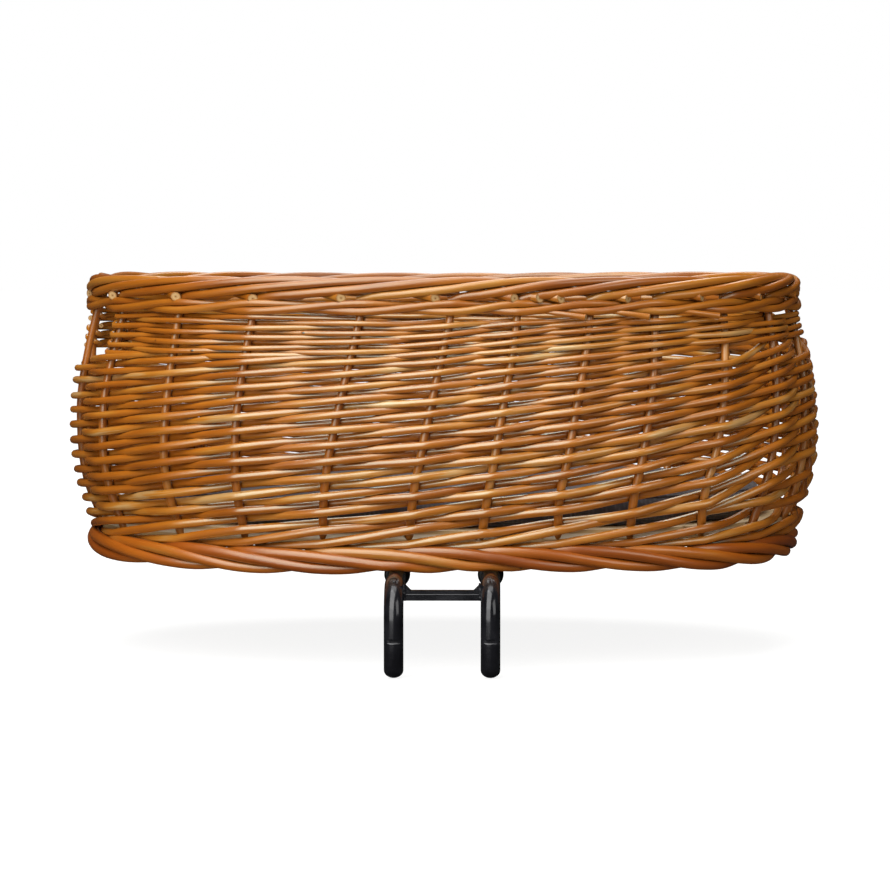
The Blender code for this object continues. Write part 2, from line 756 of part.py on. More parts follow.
def make_nut(name, x, y):
    """A flanged hexagon nut under the strap."""
    top = -2 * CLEARANCE - STRAP_THICKNESS
    bore = BOLT_DIAMETER / 2 + CLEARANCE
    flange = NUT_FLANGE_DIAMETER / 2
    low = top - NUT_FLANGE_THICKNESS
    profile = [(0.0, top), (flange, top), (flange, low), (0.0, low)]
    part = turned(f"{name}_nut", profile)
    part.location = (x, y, 0.0)
    form = bmesh.new()
    corner = NUT_WIDTH / 2 / math.cos(math.pi / 6)
    height = NUT_HEIGHT - NUT_FLANGE_THICKNESS / 2
    bmesh.ops.create_cone(
        form, cap_ends=True, segments=6, radius1=corner, radius2=corner, depth=height
    )
    hexagon = hide_cutter(mesh_object(f"{name}_hexagon", form))
    hexagon.location = (x, y, top - NUT_HEIGHT + height / 2)
    apply_boolean(part, hexagon, "UNION")
    hole = bmesh.new()
    bmesh.ops.create_cone(
        hole, cap_ends=True, segments=TURNED_SIDES, radius1=bore, radius2=bore,
        depth=NUT_HEIGHT + 2 * CUT_OVERRUN,
    )
    cutter = hide_cutter(mesh_object(f"{name}_nut_bore_cutter", hole))
    cutter.location = (x, y, top - NUT_HEIGHT / 2)
    apply_boolean(part, cutter, "DIFFERENCE")
    keep_in(PARTS, part, ZINC)


def make_fixings():
    for name, x, y in bolt_places():
        side = "left" if x < 0 else "right"
        make_bolt(f"{name}_{side}", x, y)
        make_nut(f"{name}_{side}", x, y)


clear_scene()
PARTS = new_collection("wicker_bicycle_basket")
CUTTERS = new_collection("cutters")

WILLOW_PALE = new_material("willow_pale", (0.62, 0.36, 0.12), 0.45)
WILLOW_GOLD = new_material("willow_gold", (0.52, 0.27, 0.08), 0.45)
WILLOW_STAKE = new_material("willow_stake", (0.38, 0.15, 0.04), 0.5)
WILLOW_FOOT = new_material("willow_foot", (0.36, 0.13, 0.04), 0.42)
PLYWOOD = new_material("plywood", (0.68, 0.52, 0.30), 0.6)
CUSHION_CLOTH = new_material("cushion_cloth", (0.045, 0.042, 0.048), 0.9)
BATTEN_WOOD = new_material("batten_wood", (0.45, 0.30, 0.15), 0.65)
BLACK_STEEL = new_material("black_steel", (0.012, 0.012, 0.013), 0.22)
ZINC = new_material("zinc", (0.55, 0.55, 0.56), 0.35, 1.0)

for stake_index in range(len(STAKE_SHARES)):
    make_stake(stake_index)
make_borders()
make_wales()
make_siding()
make_hand_hole_rows()
make_floor()
make_cushion()
make_tube("left", -1)
make_tube("right", 1)
make_brace()
for strap_name, strap_y in STRAP_PLACES.items():
    make_clamp(strap_name, strap_y)
make_fixings()
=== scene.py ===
import math
import random

import bmesh
import bpy
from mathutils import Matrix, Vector, noise
from mathutils.bvhtree import BVHTree


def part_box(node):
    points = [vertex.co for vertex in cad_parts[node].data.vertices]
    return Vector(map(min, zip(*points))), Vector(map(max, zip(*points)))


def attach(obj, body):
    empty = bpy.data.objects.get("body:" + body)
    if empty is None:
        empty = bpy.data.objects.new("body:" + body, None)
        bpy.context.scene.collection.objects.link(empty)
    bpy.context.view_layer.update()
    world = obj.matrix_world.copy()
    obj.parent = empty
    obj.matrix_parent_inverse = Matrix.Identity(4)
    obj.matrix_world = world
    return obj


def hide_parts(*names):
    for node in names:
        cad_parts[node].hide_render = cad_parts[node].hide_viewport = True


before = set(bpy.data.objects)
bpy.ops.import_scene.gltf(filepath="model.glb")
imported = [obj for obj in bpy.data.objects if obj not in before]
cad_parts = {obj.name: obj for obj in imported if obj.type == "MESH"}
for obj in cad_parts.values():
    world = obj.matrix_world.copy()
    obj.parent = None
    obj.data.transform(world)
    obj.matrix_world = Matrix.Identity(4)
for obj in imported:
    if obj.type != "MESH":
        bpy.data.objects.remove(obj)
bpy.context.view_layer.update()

# A buff willow basket with hand holes, a plywood floor and a loose pad, on two bent steel tubes.
# Metres, +Z up. Places round the wall are shares of its girth, anticlockwise from the +X end.


def boxOf(node):
    low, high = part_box(node)
    return {"low": low, "high": high, "middle": (low + high) / 2}


floorBox = boxOf("floor_board")
footBox = boxOf("foot_border")
topWaleBox = boxOf("top_wale")
topBorderBox = boxOf("top_border")
handHoleBox = boxOf("front_upper_row_1")

wall = {
    "bellyHalfLength": 0.240,
    "bellyHalfDepth": 0.179,
    "bellyHeight": 0.077,
    "floorDrawIn": 0.012,
    "drawInReach": 1.25,  # in heights from the belly down to the floor; below that it draws in no more
    "rimDrawIn": 0.011,
    "planPower": 2.25,
    "planSteps": 720,
    "centreY": floorBox["middle"].y,
    "floorTop": floorBox["high"].z,
    "top": topWaleBox["high"].z,
    "boardEdge": 0.0046,
}

stakes = {
    "radius": 0.0026,
    "places": (
        0.0416, 0.0844, 0.1271, 0.1699, 0.2127, 0.2555, 0.2982, 0.3410, 0.3838, 0.4265, 0.4693, 0.5120,
        0.5660, 0.6120, 0.6495, 0.6905, 0.7328, 0.7673, 0.8003, 0.8374, 0.8752, 0.9163, 0.9560, 0.9990,
    ),
    "leans": (
        0.12, 0.12, 0.12, 0.12, 0.12, 0.12, 0.12, 0.12, 0.12, 0.12, 0.12, 0.12,
        0.0, 0.03, 0.075, 0.195, 0.21, 0.1875, 0.21, 0.18, 0.2025, 0.15, 0.12, 0.12,
    ),
    "lowShifts": {16: 0.0010, 17: 0.0020, 18: 0.0072, 19: 0.0074, 20: 0.0100, 21: 0.0030},
    "lowHeight": 0.058,
    "lowGain": 1.6,
    "frontRun": (12, 22),
    "backRun": (24, 34),
    "sunk": 0.004,
    "above": 0.001,
    "steps": 22,
    "thickness": 1.12,
    "taper": 0.22,
    "sway": 0.0008,
    "swaysPerMetre": 22,
    "leansPerMetre": 16,
    "seedStep": 5.3,
    "tone": (0.25, 0.5),
    "sides": 12,
}
stakeCount = len(stakes["places"])
luck = random.Random(7)


def drawn(low, spread):
    # The next draw of luck, between low and low + spread
    return low + spread * luck.random()


def unevenness(*place):
    # How a hand-made piece strays, smoothly from place to place, from about -1 to 1
    return noise.noise(Vector(place))


def clamped(share):
    return min(1.0, max(0.0, share))


def eased(share):
    return share * share * (3 - 2 * share)


# The wall's shape, as the solids have it

def planRadius(angle, halfLength, halfDepth):
    along = abs(math.cos(angle) / halfLength) ** wall["planPower"]
    across = abs(math.sin(angle) / halfDepth) ** wall["planPower"]
    return (along + across) ** (-1 / wall["planPower"])


def girthTable():
    lengths, last = [0.0], None
    for step in range(wall["planSteps"] + 1):
        angle = 2 * math.pi * step / wall["planSteps"]
        radius = planRadius(angle, wall["bellyHalfLength"], wall["bellyHalfDepth"])
        point = Vector((radius * math.cos(angle), radius * math.sin(angle)))
        if last is not None:
            lengths.append(lengths[-1] + (point - last).length)
        last = point
    return lengths


girthLengths = girthTable()
girth = girthLengths[-1]


def angleAt(share):
    turns, rest = divmod(share, 1.0)
    wanted = rest * girth
    low, high = 0, wall["planSteps"]
    while high - low > 1:
        middle = (low + high) // 2
        if girthLengths[middle] <= wanted:
            low = middle
        else:
            high = middle
    span = girthLengths[high] - girthLengths[low]
    return 2 * math.pi * (turns + (low + (wanted - girthLengths[low]) / span) / wall["planSteps"])


def drawIn(height):
    if height < wall["bellyHeight"]:
        share = (wall["bellyHeight"] - height) / (wall["bellyHeight"] - wall["floorTop"])
        return wall["floorDrawIn"] * min(share, wall["drawInReach"]) ** 2
    share = (height - wall["bellyHeight"]) / (wall["top"] - wall["bellyHeight"])
    return wall["rimDrawIn"] * min(share, 1.0) ** 2


# Where the hand-made wall bulges or pulls in: middle and spread along the girth, middle and
# spread of the height, and how far

bulges = (
    (0.500, 0.085, 0.040, 0.026, 0.0016),
    (0.500, 0.090, 0.098, 0.032, 0.0022),
    (0.585, 0.050, 0.004, 0.018, 0.0050),
    (0.000, 0.080, 0.166, 0.030, -0.0036),
    (0.905, 0.050, 0.006, 0.018, 0.0030),
    (0.990, 0.045, 0.004, 0.016, -0.0044),
    (0.470, 0.035, 0.145, 0.030, 0.0045),
    (0.566, 0.030, 0.150, 0.028, -0.0042),
)
# The far side of the rim hangs a little: middle and spread along the girth, from which height, drop
rimSag = {"middle": 0.25, "spread": 0.14, "above": 0.12, "drop": 0.0022}
# The foot stands lower in two places: middle and spread along the girth, and the drop
footSags = ((0.665, 0.055, 0.0020), (0.885, 0.040, 0.0022))
# The siding is built up higher at the right end than at the left
sidingTilt = 0.0070


def bulge(share, height):
    total = 0.0
    for middle, spread, middleHeight, heightSpread, amount in bulges:
        along = ((share - middle + 0.5) % 1.0 - 0.5) / spread
        up = (height - middleHeight) / heightSpread
        total += amount * math.exp(-along * along - up * up)
    return total


def sag(share, height):
    along = ((share - rimSag["middle"] + 0.5) % 1.0 - 0.5) / rimSag["spread"]
    up = max(0.0, height - rimSag["above"]) / (wall["top"] - rimSag["above"])
    return rimSag["drop"] * math.exp(-along * along) * min(up, 1.0)


def tilt(share):
    return sidingTilt * ((1 + math.cos(2 * math.pi * share)) / 2) ** 2


def wallPoint(share, height, outset=0.0, pull=None):
    pulled = drawIn(height) if pull is None else pull
    halfLength = wall["bellyHalfLength"] - pulled
    halfDepth = wall["bellyHalfDepth"] - pulled
    angle = angleAt(share)
    radius = planRadius(angle, halfLength, halfDepth)
    x, y = radius * math.cos(angle), radius * math.sin(angle)
    power = wall["planPower"] - 1
    across = math.copysign(abs(x / halfLength) ** power / halfLength, x)
    along = math.copysign(abs(y / halfDepth) ** power / halfDepth, y)
    out = Vector((across, along)).normalized() * (outset + bulge(share, height))
    return Vector((x + out.x, wall["centreY"] + y + out.y, height - sag(share, height)))


def wallNormal(point):
    across = point.x / wall["bellyHalfLength"] ** 2
    along = (point.y - wall["centreY"]) / wall["bellyHalfDepth"] ** 2
    return Vector((across, along, 0)).normalized()


def stakeShare(index, height):
    turns, place = divmod(index, stakeCount)
    lean = stakes["leans"][place] * (height - wall["floorTop"]) / girth
    low = min(1.0, max(0.0, 1 - height / stakes["lowHeight"]) * stakes["lowGain"])
    return turns + stakes["places"][place] + lean + stakes["lowShifts"].get(place, 0.0) * low * low


def placeShare(place, height):
    # A place counted in stakes, such as 2.5 for halfway from stake 2 to stake 3
    index = math.floor(place)
    here, there = stakeShare(index, height), stakeShare(index + 1, height)
    return here + (there - here) * (place - index)


# Round rods swept along a path, several to a mesh

def smoothPath(points, perSpan):
    # A Catmull-Rom curve through the points, which are tuples of any length
    padded = [points[0], *points, points[-1]]
    made = []
    for before, here, there, after in zip(padded, padded[1:], padded[2:], padded[3:]):
        for step in range(perSpan):
            t = step / perSpan
            made.append(tuple(
                0.5 * (2 * b + (c - a) * t + (2 * a - 5 * b + 4 * c - d) * t * t
                       + (3 * b - a - 3 * c + d) * t ** 3)
                for a, b, c, d in zip(before, here, there, after)
            ))
    made.append(points[-1])
    return made


def ringsOf(path, radii, sides, cutNormal):
    rings = []
    ahead = (path[1] - path[0]).normalized()
    side = ahead.orthogonal().normalized()
    for index, point in enumerate(path):
        after = path[min(index + 1, len(path) - 1)]
        before = path[max(index - 1, 0)]
        direction = (after - before).normalized()
        side = (side - direction * side.dot(direction)).normalized()
        up = direction.cross(side)
        ring = []
        for corner in range(sides):
            angle = 2 * math.pi * corner / sides
            ring.append(point + (side * math.cos(angle) + up * math.sin(angle)) * radii[index])
        rings.append(ring)
    if cutNormal is not None:
        tip = path[-1]
        rings[-1] = [
            corner + direction * (tip - corner).dot(cutNormal) / direction.dot(cutNormal)
            for corner in rings[-1]
        ]
    return rings


rodMesh = {"sides": 10, "textureShift": 3.7, "sharpDeg": 50}


def sweepRods(name, rods, materials, sides=rodMesh["sides"]):
    # A rod is {"path", "radii", "tone"}, and maybe "cut", the way that its far end's face looks. The
    # last material is for the ends
    points, faces, uvs, tones, slots = [], [], [], [], []
    for number, rod in enumerate(rods):
        path, radii = rod["path"], rod["radii"]
        rings = ringsOf(path, radii, sides, rod.get("cut"))
        base = len(points)
        length = number * rodMesh["textureShift"]
        lengths = [length]
        for here, there in zip(path, path[1:]):
            length += (there - here).length
            lengths.append(length)
        for ring in rings:
            points += ring
        tones += [rod["tone"]] * (len(rings) * sides)
        for step in range(len(rings) - 1):
            for corner in range(sides):
                after = (corner + 1) % sides
                row, above = base + step * sides, base + (step + 1) * sides
                faces.append((row + corner, row + after, above + after, above + corner))
                left, right = corner / sides, (corner + 1) / sides
                uvs += [(left, lengths[step]), (right, lengths[step]),
                        (right, lengths[step + 1]), (left, lengths[step + 1])]
                slots.append(0)
        last = base + (len(rings) - 1) * sides
        for start, order in ((base, range(sides - 1, -1, -1)), (last, range(sides))):
            faces.append(tuple(start + corner for corner in order))
            for corner in order:
                angle = 2 * math.pi * corner / sides
                uvs.append((0.5 + 0.5 * math.cos(angle), 0.5 + 0.5 * math.sin(angle)))
            slots.append(len(materials) - 1)
    mesh = bpy.data.meshes.new(name)
    mesh.from_pydata(points, [], faces)
    layer = mesh.uv_layers.new(name="rodLength")
    layer.data.foreach_set("uv", [number for uv in uvs for number in uv])
    tone = mesh.attributes.new("rodTone", "FLOAT", "POINT")
    tone.data.foreach_set("value", tones)
    for material in materials:
        mesh.materials.append(material)
    mesh.polygons.foreach_set("material_index", slots)
    mesh.shade_smooth()
    mesh.set_sharp_from_angle(angle=math.radians(rodMesh["sharpDeg"]))
    return placed(bpy.data.objects.new(name, mesh))


def placed(item):
    bpy.context.scene.collection.objects.link(item)
    return item


def dress(piece, nodes=(), body="basket"):
    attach(piece, body)
    if nodes:
        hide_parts(*nodes)


# Materials

def linear(hexColour):
    shares = [int(hexColour[place:place + 2], 16) / 255 for place in (1, 3, 5)]
    return tuple(s / 12.92 if s <= 0.04045 else ((s + 0.055) / 1.055) ** 2.4 for s in shares) + (1.0,)


def fillInputs(tree, node, inputs):
    # Each input gets a value, or a link from another node's socket
    for socket, value in inputs.items():
        if isinstance(value, bpy.types.NodeSocket):
            tree.links.new(value, node.inputs[socket])
        else:
            node.inputs[socket].default_value = value


def addNode(tree, kind, inputs=None, stops=None, **settings):
    # Stops are a ramp's (place, hex colour) pairs
    node = tree.nodes.new(kind)
    for setting, value in settings.items():
        setattr(node, setting, value)
    fillInputs(tree, node, inputs or {})
    if stops:
        elements = node.color_ramp.elements
        while len(elements) < len(stops):
            elements.new(0.5)
        for element, (place, colour) in zip(elements, stops):
            element.position = place
            element.color = linear(colour)
    return node


def newMaterial(name):
    material = bpy.data.materials.new(name)
    material.use_nodes = True
    tree = material.node_tree
    return material, tree, tree.nodes["Principled BSDF"]


willowSkin = {
    "rodAroundMm": 15.0,
    "fibreMm": 1.1,
    "fibreStretch": 30,
    "blotchMm": 60.0,
    "blotchesAround": 1.3,
    "scarSpacingMm": 24.0,
    "scarMiddleMm": 0.5,
    "scarEdgeMm": 1.7,
    "scarColour": "#5a2e12",
    # How far the painted crevice shade reaches, its dark brown and its greatest share
    "creviceShadeReach": 0.005,
    "creviceShadeColour": "#4a2208",
    "creviceShadeMost": 0.8,
    "reliefShare": 0.35,
    "reliefHeight": 0.0004,
}
thinShine = {"index": 2.24, "tint": "#d8faea"}
thickShine = {"index": 2.0, "tint": "#e7f3e0"}


def peeledWillow(name, stops, roughness, shine, contrast=0.30):
    # Willow boiled and peeled: the tannin stains it from cream to brown, rod by rod, and the
    # peeled skin has a satin shine, faint streaks along the rod and small dark bud scars
    material, tree, surface = newMaterial(name)
    around, scarSpacing = willowSkin["rodAroundMm"], willowSkin["scarSpacingMm"]
    uv = addNode(tree, "ShaderNodeUVMap", uv_map="rodLength").outputs["UV"]
    tone = addNode(tree, "ShaderNodeAttribute", attribute_name="rodTone").outputs["Fac"]
    fibre = willowSkin["fibreMm"]
    streakPlace = addNode(tree, "ShaderNodeMapping", {
        "Vector": uv, "Scale": (around / fibre, 1000 / (fibre * willowSkin["fibreStretch"]), 1.0)})
    streaks = addNode(tree, "ShaderNodeTexNoise", {
        "Vector": streakPlace.outputs["Vector"], "Scale": 1.0, "Detail": 3.0, "Roughness": 0.6})
    blotchPlace = addNode(tree, "ShaderNodeMapping", {
        "Vector": uv, "Scale": (willowSkin["blotchesAround"], 1000 / willowSkin["blotchMm"], 1.0)})
    blotches = addNode(tree, "ShaderNodeTexNoise", {
        "Vector": blotchPlace.outputs["Vector"], "Scale": 1.0, "Detail": 2.0})
    streakShare, blotchShare = (
        addNode(tree, "ShaderNodeMapRange", {
            "Value": pattern.outputs["Fac"], "From Min": 0.3, "From Max": 0.7,
            "To Min": -most, "To Max": most})
        for pattern, most in ((streaks, contrast / 3), (blotches, contrast)))
    both = addNode(tree, "ShaderNodeMath", {0: streakShare.outputs[0], 1: blotchShare.outputs[0]})
    shade = addNode(tree, "ShaderNodeMath", {0: tone, 1: both.outputs[0]}, use_clamp=True)
    skin = addNode(tree, "ShaderNodeValToRGB", {"Fac": shade.outputs[0]}, stops=stops)

    scarPlace = addNode(tree, "ShaderNodeMapping", {
        "Vector": uv, "Scale": (around / scarSpacing, 1000 / scarSpacing, 1.0)})
    scars = addNode(tree, "ShaderNodeTexVoronoi", {
        "Vector": scarPlace.outputs["Vector"], "Scale": 1.0, "Randomness": 1.0})
    scarShare = addNode(tree, "ShaderNodeMapRange", {
        "Value": scars.outputs["Distance"], "From Min": willowSkin["scarMiddleMm"] / scarSpacing,
        "From Max": willowSkin["scarEdgeMm"] / scarSpacing, "To Min": 1.0, "To Max": 0.0},
        interpolation_type="SMOOTHSTEP")
    scarred = addNode(tree, "ShaderNodeMix", {
        "Factor": scarShare.outputs[0], "A": skin.outputs["Color"],
        "B": linear(willowSkin["scarColour"])}, data_type="RGBA")

    # Painted shade: the skin's colour is darkened towards dark brown where the rods lie close together, in
    # the crevices between them, standing in for the shade there
    openness = addNode(tree, "ShaderNodeAmbientOcclusion", {"Distance": willowSkin["creviceShadeReach"]}, samples=6)
    creviceShadeShare = addNode(tree, "ShaderNodeMapRange", {
        "Value": openness.outputs["AO"], "From Min": 0.2, "From Max": 0.66,
        "To Min": willowSkin["creviceShadeMost"], "To Max": 0.0})
    creviceShaded = addNode(tree, "ShaderNodeMix", {
        "Factor": creviceShadeShare.outputs[0], "A": scarred.outputs["Result"],
        "B": linear(willowSkin["creviceShadeColour"])}, data_type="RGBA")
    relief = addNode(tree, "ShaderNodeMath", {
        0: scarShare.outputs[0], 1: streaks.outputs["Fac"]}, operation="ADD")
    bump = addNode(tree, "ShaderNodeBump", {
        "Height": relief.outputs[0], "Strength": willowSkin["reliefShare"],
        "Distance": willowSkin["reliefHeight"]})
    fillInputs(tree, surface, {
        "Base Color": creviceShaded.outputs["Result"], "Normal": bump.outputs["Normal"], "Roughness": roughness,
        "IOR": shine["index"], "Specular Tint": linear(shine["tint"])})
    return material


def cutWillow():
    # The sawn end of a rod: matt pale wood, a darker skin round it and a brown pith in the middle
    material, tree, surface = newMaterial("cutWillowEnd")
    rodMm, grainMm = 5.4, 0.6
    uv = addNode(tree, "ShaderNodeUVMap", uv_map="rodLength").outputs["UV"]
    fromMiddle = addNode(tree, "ShaderNodeVectorMath", {0: uv, 1: (0.5, 0.5, 0.0)}, operation="DISTANCE")
    grain = addNode(tree, "ShaderNodeTexNoise", {"Vector": uv, "Scale": rodMm / grainMm, "Detail": 3.0})
    wobble = addNode(tree, "ShaderNodeMath", {
        0: grain.outputs["Fac"], 1: 0.14, 2: fromMiddle.outputs["Value"]}, operation="MULTIPLY_ADD")
    rings = addNode(tree, "ShaderNodeValToRGB", {"Fac": wobble.outputs[0]}, stops=(
        (0.09, "#6d3c18"), (0.16, "#b98d54"), (0.34, "#cda973"), (0.50, "#b07f45"), (0.58, "#7a4218")))
    bump = addNode(tree, "ShaderNodeBump", {
        "Height": grain.outputs["Fac"], "Strength": 0.5, "Distance": 0.0005})
    fillInputs(tree, surface, {
        "Base Color": rings.outputs["Color"], "Normal": bump.outputs["Normal"], "Roughness": 0.8})
    return material


def birchPlywood():
    # Rotary-cut birch plywood, sawn: pale faces with long grain, and an edge of light and dark plies
    material, tree, surface = newMaterial("birchPlywood")
    plyMm, grainMm, grainStretch = 1.5, 4.0, 14
    place = addNode(tree, "ShaderNodeTexCoord").outputs["Object"]
    parts = addNode(tree, "ShaderNodeSeparateXYZ", {"Vector": place})
    plies = addNode(tree, "ShaderNodeMath", {0: parts.outputs["Z"], 1: 1000 / (2 * plyMm)},
                    operation="MULTIPLY")
    wave = addNode(tree, "ShaderNodeMath", {0: plies.outputs[0], 1: 1.0}, operation="PINGPONG")
    plyShare = addNode(tree, "ShaderNodeMapRange", {
        "Value": wave.outputs[0], "From Min": 0.35, "From Max": 0.65})
    grainPlace = addNode(tree, "ShaderNodeMapping", {
        "Vector": place, "Scale": (1000 / (grainMm * grainStretch), 1000 / grainMm, 1000 / grainMm)})
    grain = addNode(tree, "ShaderNodeTexNoise", {
        "Vector": grainPlace.outputs["Vector"], "Scale": 1.0, "Detail": 5.0, "Roughness": 0.65})
    faceColour = addNode(tree, "ShaderNodeValToRGB", {"Fac": grain.outputs["Fac"]}, stops=(
        (0.32, "#bf9a62"), (0.52, "#dcc294"), (0.72, "#ead7b0")))
    edgeColour = addNode(tree, "ShaderNodeMix", {
        "Factor": plyShare.outputs[0], "A": linear("#c9a874"), "B": linear("#f0e2c4")},
        data_type="RGBA")
    normal = addNode(tree, "ShaderNodeNewGeometry").outputs["True Normal"]
    facing = addNode(tree, "ShaderNodeSeparateXYZ", {"Vector": normal})
    flat = addNode(tree, "ShaderNodeMath", {0: facing.outputs["Z"], 1: 0.0}, operation="ABSOLUTE")
    colour = addNode(tree, "ShaderNodeMix", {
        "Factor": flat.outputs[0], "A": edgeColour.outputs["Result"], "B": faceColour.outputs["Color"]},
        data_type="RGBA")
    bump = addNode(tree, "ShaderNodeBump", {
        "Height": grain.outputs["Fac"], "Strength": 0.4, "Distance": 0.0004})
    fillInputs(tree, surface, {
        "Base Color": colour.outputs["Result"], "Normal": bump.outputs["Normal"], "Roughness": 0.62})
    return material


def plainBatten():
    # Planed pine, oiled: straight grain along the batten and a dull sheen
    material, tree, surface = newMaterial("planedPine")
    grainMm, grainStretch = 2.2, 25
    place = addNode(tree, "ShaderNodeTexCoord").outputs["Object"]
    grainPlace = addNode(tree, "ShaderNodeMapping", {
        "Vector": place, "Scale": (1000 / (grainMm * grainStretch), 1000 / grainMm, 1000 / grainMm)})
    grain = addNode(tree, "ShaderNodeTexNoise", {
        "Vector": grainPlace.outputs["Vector"], "Scale": 1.0, "Detail": 4.0, "Distortion": 0.6})
    colour = addNode(tree, "ShaderNodeValToRGB", {"Fac": grain.outputs["Fac"]}, stops=(
        (0.30, "#8f6233"), (0.50, "#b98c52"), (0.70, "#d0a86c")))
    bump = addNode(tree, "ShaderNodeBump", {
        "Height": grain.outputs["Fac"], "Strength": 0.3, "Distance": 0.0003})
    fillInputs(tree, surface, {
        "Base Color": colour.outputs["Color"], "Normal": bump.outputs["Normal"], "Roughness": 0.55})
    return material


def wovenCanvas():
    # Polyester canvas, plain woven and dyed slate grey: matt, with the threads' fine grid and a
    # soft sheen. The threads are drawn at 1.4 mm, coarser than the real 0.5 mm, so that they show
    material, tree, surface = newMaterial("slateCanvas")
    threadMm, cloudMm = 1.4, 35.7
    wavesPerUnit = 20 / (2 * math.pi)
    place = addNode(tree, "ShaderNodeTexCoord").outputs["Object"]
    warp, weft = (
        addNode(tree, "ShaderNodeTexWave", {
            "Vector": place, "Scale": 1000 / (2 * threadMm) / wavesPerUnit, "Distortion": 0.6, "Detail": 1.0},
            bands_direction=way)
        for way in "XY")
    grid = addNode(tree, "ShaderNodeMath", {
        0: warp.outputs["Fac"], 1: weft.outputs["Fac"]}, operation="MULTIPLY")
    cloudy = addNode(tree, "ShaderNodeTexNoise", {"Vector": place, "Scale": 1000 / cloudMm, "Detail": 4.0})
    mixShare = addNode(tree, "ShaderNodeMath", {
        0: grid.outputs[0], 1: 0.28, 2: cloudy.outputs["Fac"]}, operation="MULTIPLY_ADD")
    colour = addNode(tree, "ShaderNodeValToRGB", {"Fac": mixShare.outputs[0]}, stops=(
        (0.25, "#2a282b"), (0.60, "#3e3c40"), (1.0, "#56545a")))
    bump = addNode(tree, "ShaderNodeBump", {
        "Height": grid.outputs[0], "Strength": 0.35, "Distance": 0.0004})
    fillInputs(tree, surface, {
        "Base Color": colour.outputs["Color"], "Normal": bump.outputs["Normal"], "Roughness": 0.92,
        "Sheen Weight": 0.25, "Sheen Roughness": 0.5})
    return material


def blackPowderCoat():
    # Steel with a gloss black powder coat: near-mirror highlights, broken by a faint orange peel
    material, tree, surface = newMaterial("glossPowderCoat")
    peelMm, dustMm = 2.6, 11.1
    place = addNode(tree, "ShaderNodeTexCoord").outputs["Object"]
    peel = addNode(tree, "ShaderNodeTexNoise", {"Vector": place, "Scale": 1000 / peelMm, "Detail": 1.0})
    dust = addNode(tree, "ShaderNodeTexNoise", {"Vector": place, "Scale": 1000 / dustMm, "Detail": 4.0})
    colour = addNode(tree, "ShaderNodeValToRGB", {"Fac": dust.outputs["Fac"]}, stops=(
        (0.35, "#121215"), (0.70, "#202024")))
    rough = addNode(tree, "ShaderNodeMapRange", {
        "Value": dust.outputs["Fac"], "From Min": 0.35, "From Max": 0.7, "To Min": 0.13, "To Max": 0.22})
    bump = addNode(tree, "ShaderNodeBump", {
        "Height": peel.outputs["Fac"], "Strength": 0.12, "Distance": 0.0003})
    fillInputs(tree, surface, {
        "Base Color": colour.outputs["Color"], "Normal": bump.outputs["Normal"],
        "Roughness": rough.outputs[0], "Coat Weight": 0.3, "Coat Roughness": 0.16})
    return material


def mouldedRubber():
    # Black moulded rubber: a deep black with a waxy shine and a trace of dust
    material, tree, surface = newMaterial("mouldedRubber")
    dustMm = 3.85
    place = addNode(tree, "ShaderNodeTexCoord").outputs["Object"]
    dust = addNode(tree, "ShaderNodeTexNoise", {"Vector": place, "Scale": 1000 / dustMm, "Detail": 4.0})
    colour = addNode(tree, "ShaderNodeValToRGB", {"Fac": dust.outputs["Fac"]}, stops=(
        (0.40, "#0b0b0c"), (0.75, "#1b1a1a")))
    bump = addNode(tree, "ShaderNodeBump", {
        "Height": dust.outputs["Fac"], "Strength": 0.2, "Distance": 0.0002})
    fillInputs(tree, surface, {
        "Base Color": colour.outputs["Color"], "Normal": bump.outputs["Normal"], "Roughness": 0.38})
    return material


def zincPlate():
    # Zinc-plated steel, barrel finished: grey metal with a cloudy, slightly brushed shine
    material, tree, surface = newMaterial("zincPlate")
    cloudMm = 1.43
    place = addNode(tree, "ShaderNodeTexCoord").outputs["Object"]
    clouds = addNode(tree, "ShaderNodeTexNoise", {"Vector": place, "Scale": 1000 / cloudMm, "Detail": 3.0})
    colour = addNode(tree, "ShaderNodeValToRGB", {"Fac": clouds.outputs["Fac"]}, stops=(
        (0.35, "#a3a6a8"), (0.65, "#cdd0d1")))
    rough = addNode(tree, "ShaderNodeMapRange", {
        "Value": clouds.outputs["Fac"], "From Min": 0.3, "From Max": 0.7, "To Min": 0.26, "To Max": 0.44})
    fillInputs(tree, surface, {
        "Base Color": colour.outputs["Color"], "Roughness": rough.outputs[0], "Metallic": 1.0})
    return material


willowPale = peeledWillow("peeledWillowStrand", (
    (0.0, "#994e0b"), (0.30, "#ae5f10"), (0.60, "#be6d16"), (0.85, "#ca822b"), (1.0, "#d3a262")),
    0.27, thinShine)
willowGold = peeledWillow("peeledWillowRod", (
    (0.0, "#90480c"), (0.30, "#a65a0f"), (0.65, "#b76b16"), (1.0, "#c28331")), 0.30, thickShine)
willowStake = peeledWillow("peeledWillowStake", (
    (0.0, "#994f0a"), (0.4, "#b4640f"), (0.7, "#c1731c"), (1.0, "#cd9249")), 0.36, thickShine, 0.35)
willowFoot = peeledWillow("peeledWillowButt", (
    (0.0, "#8c400a"), (0.4, "#a7530c"), (0.75, "#b76313"), (1.0, "#bf7a2a")), 0.30, thickShine)
willowCut = cutWillow()
plywood = birchPlywood()
batten = plainBatten()
canvas = wovenCanvas()
steel = blackPowderCoat()
rubber = mouldedRubber()
zinc = zincPlate()
print("materials made")


# Stakes

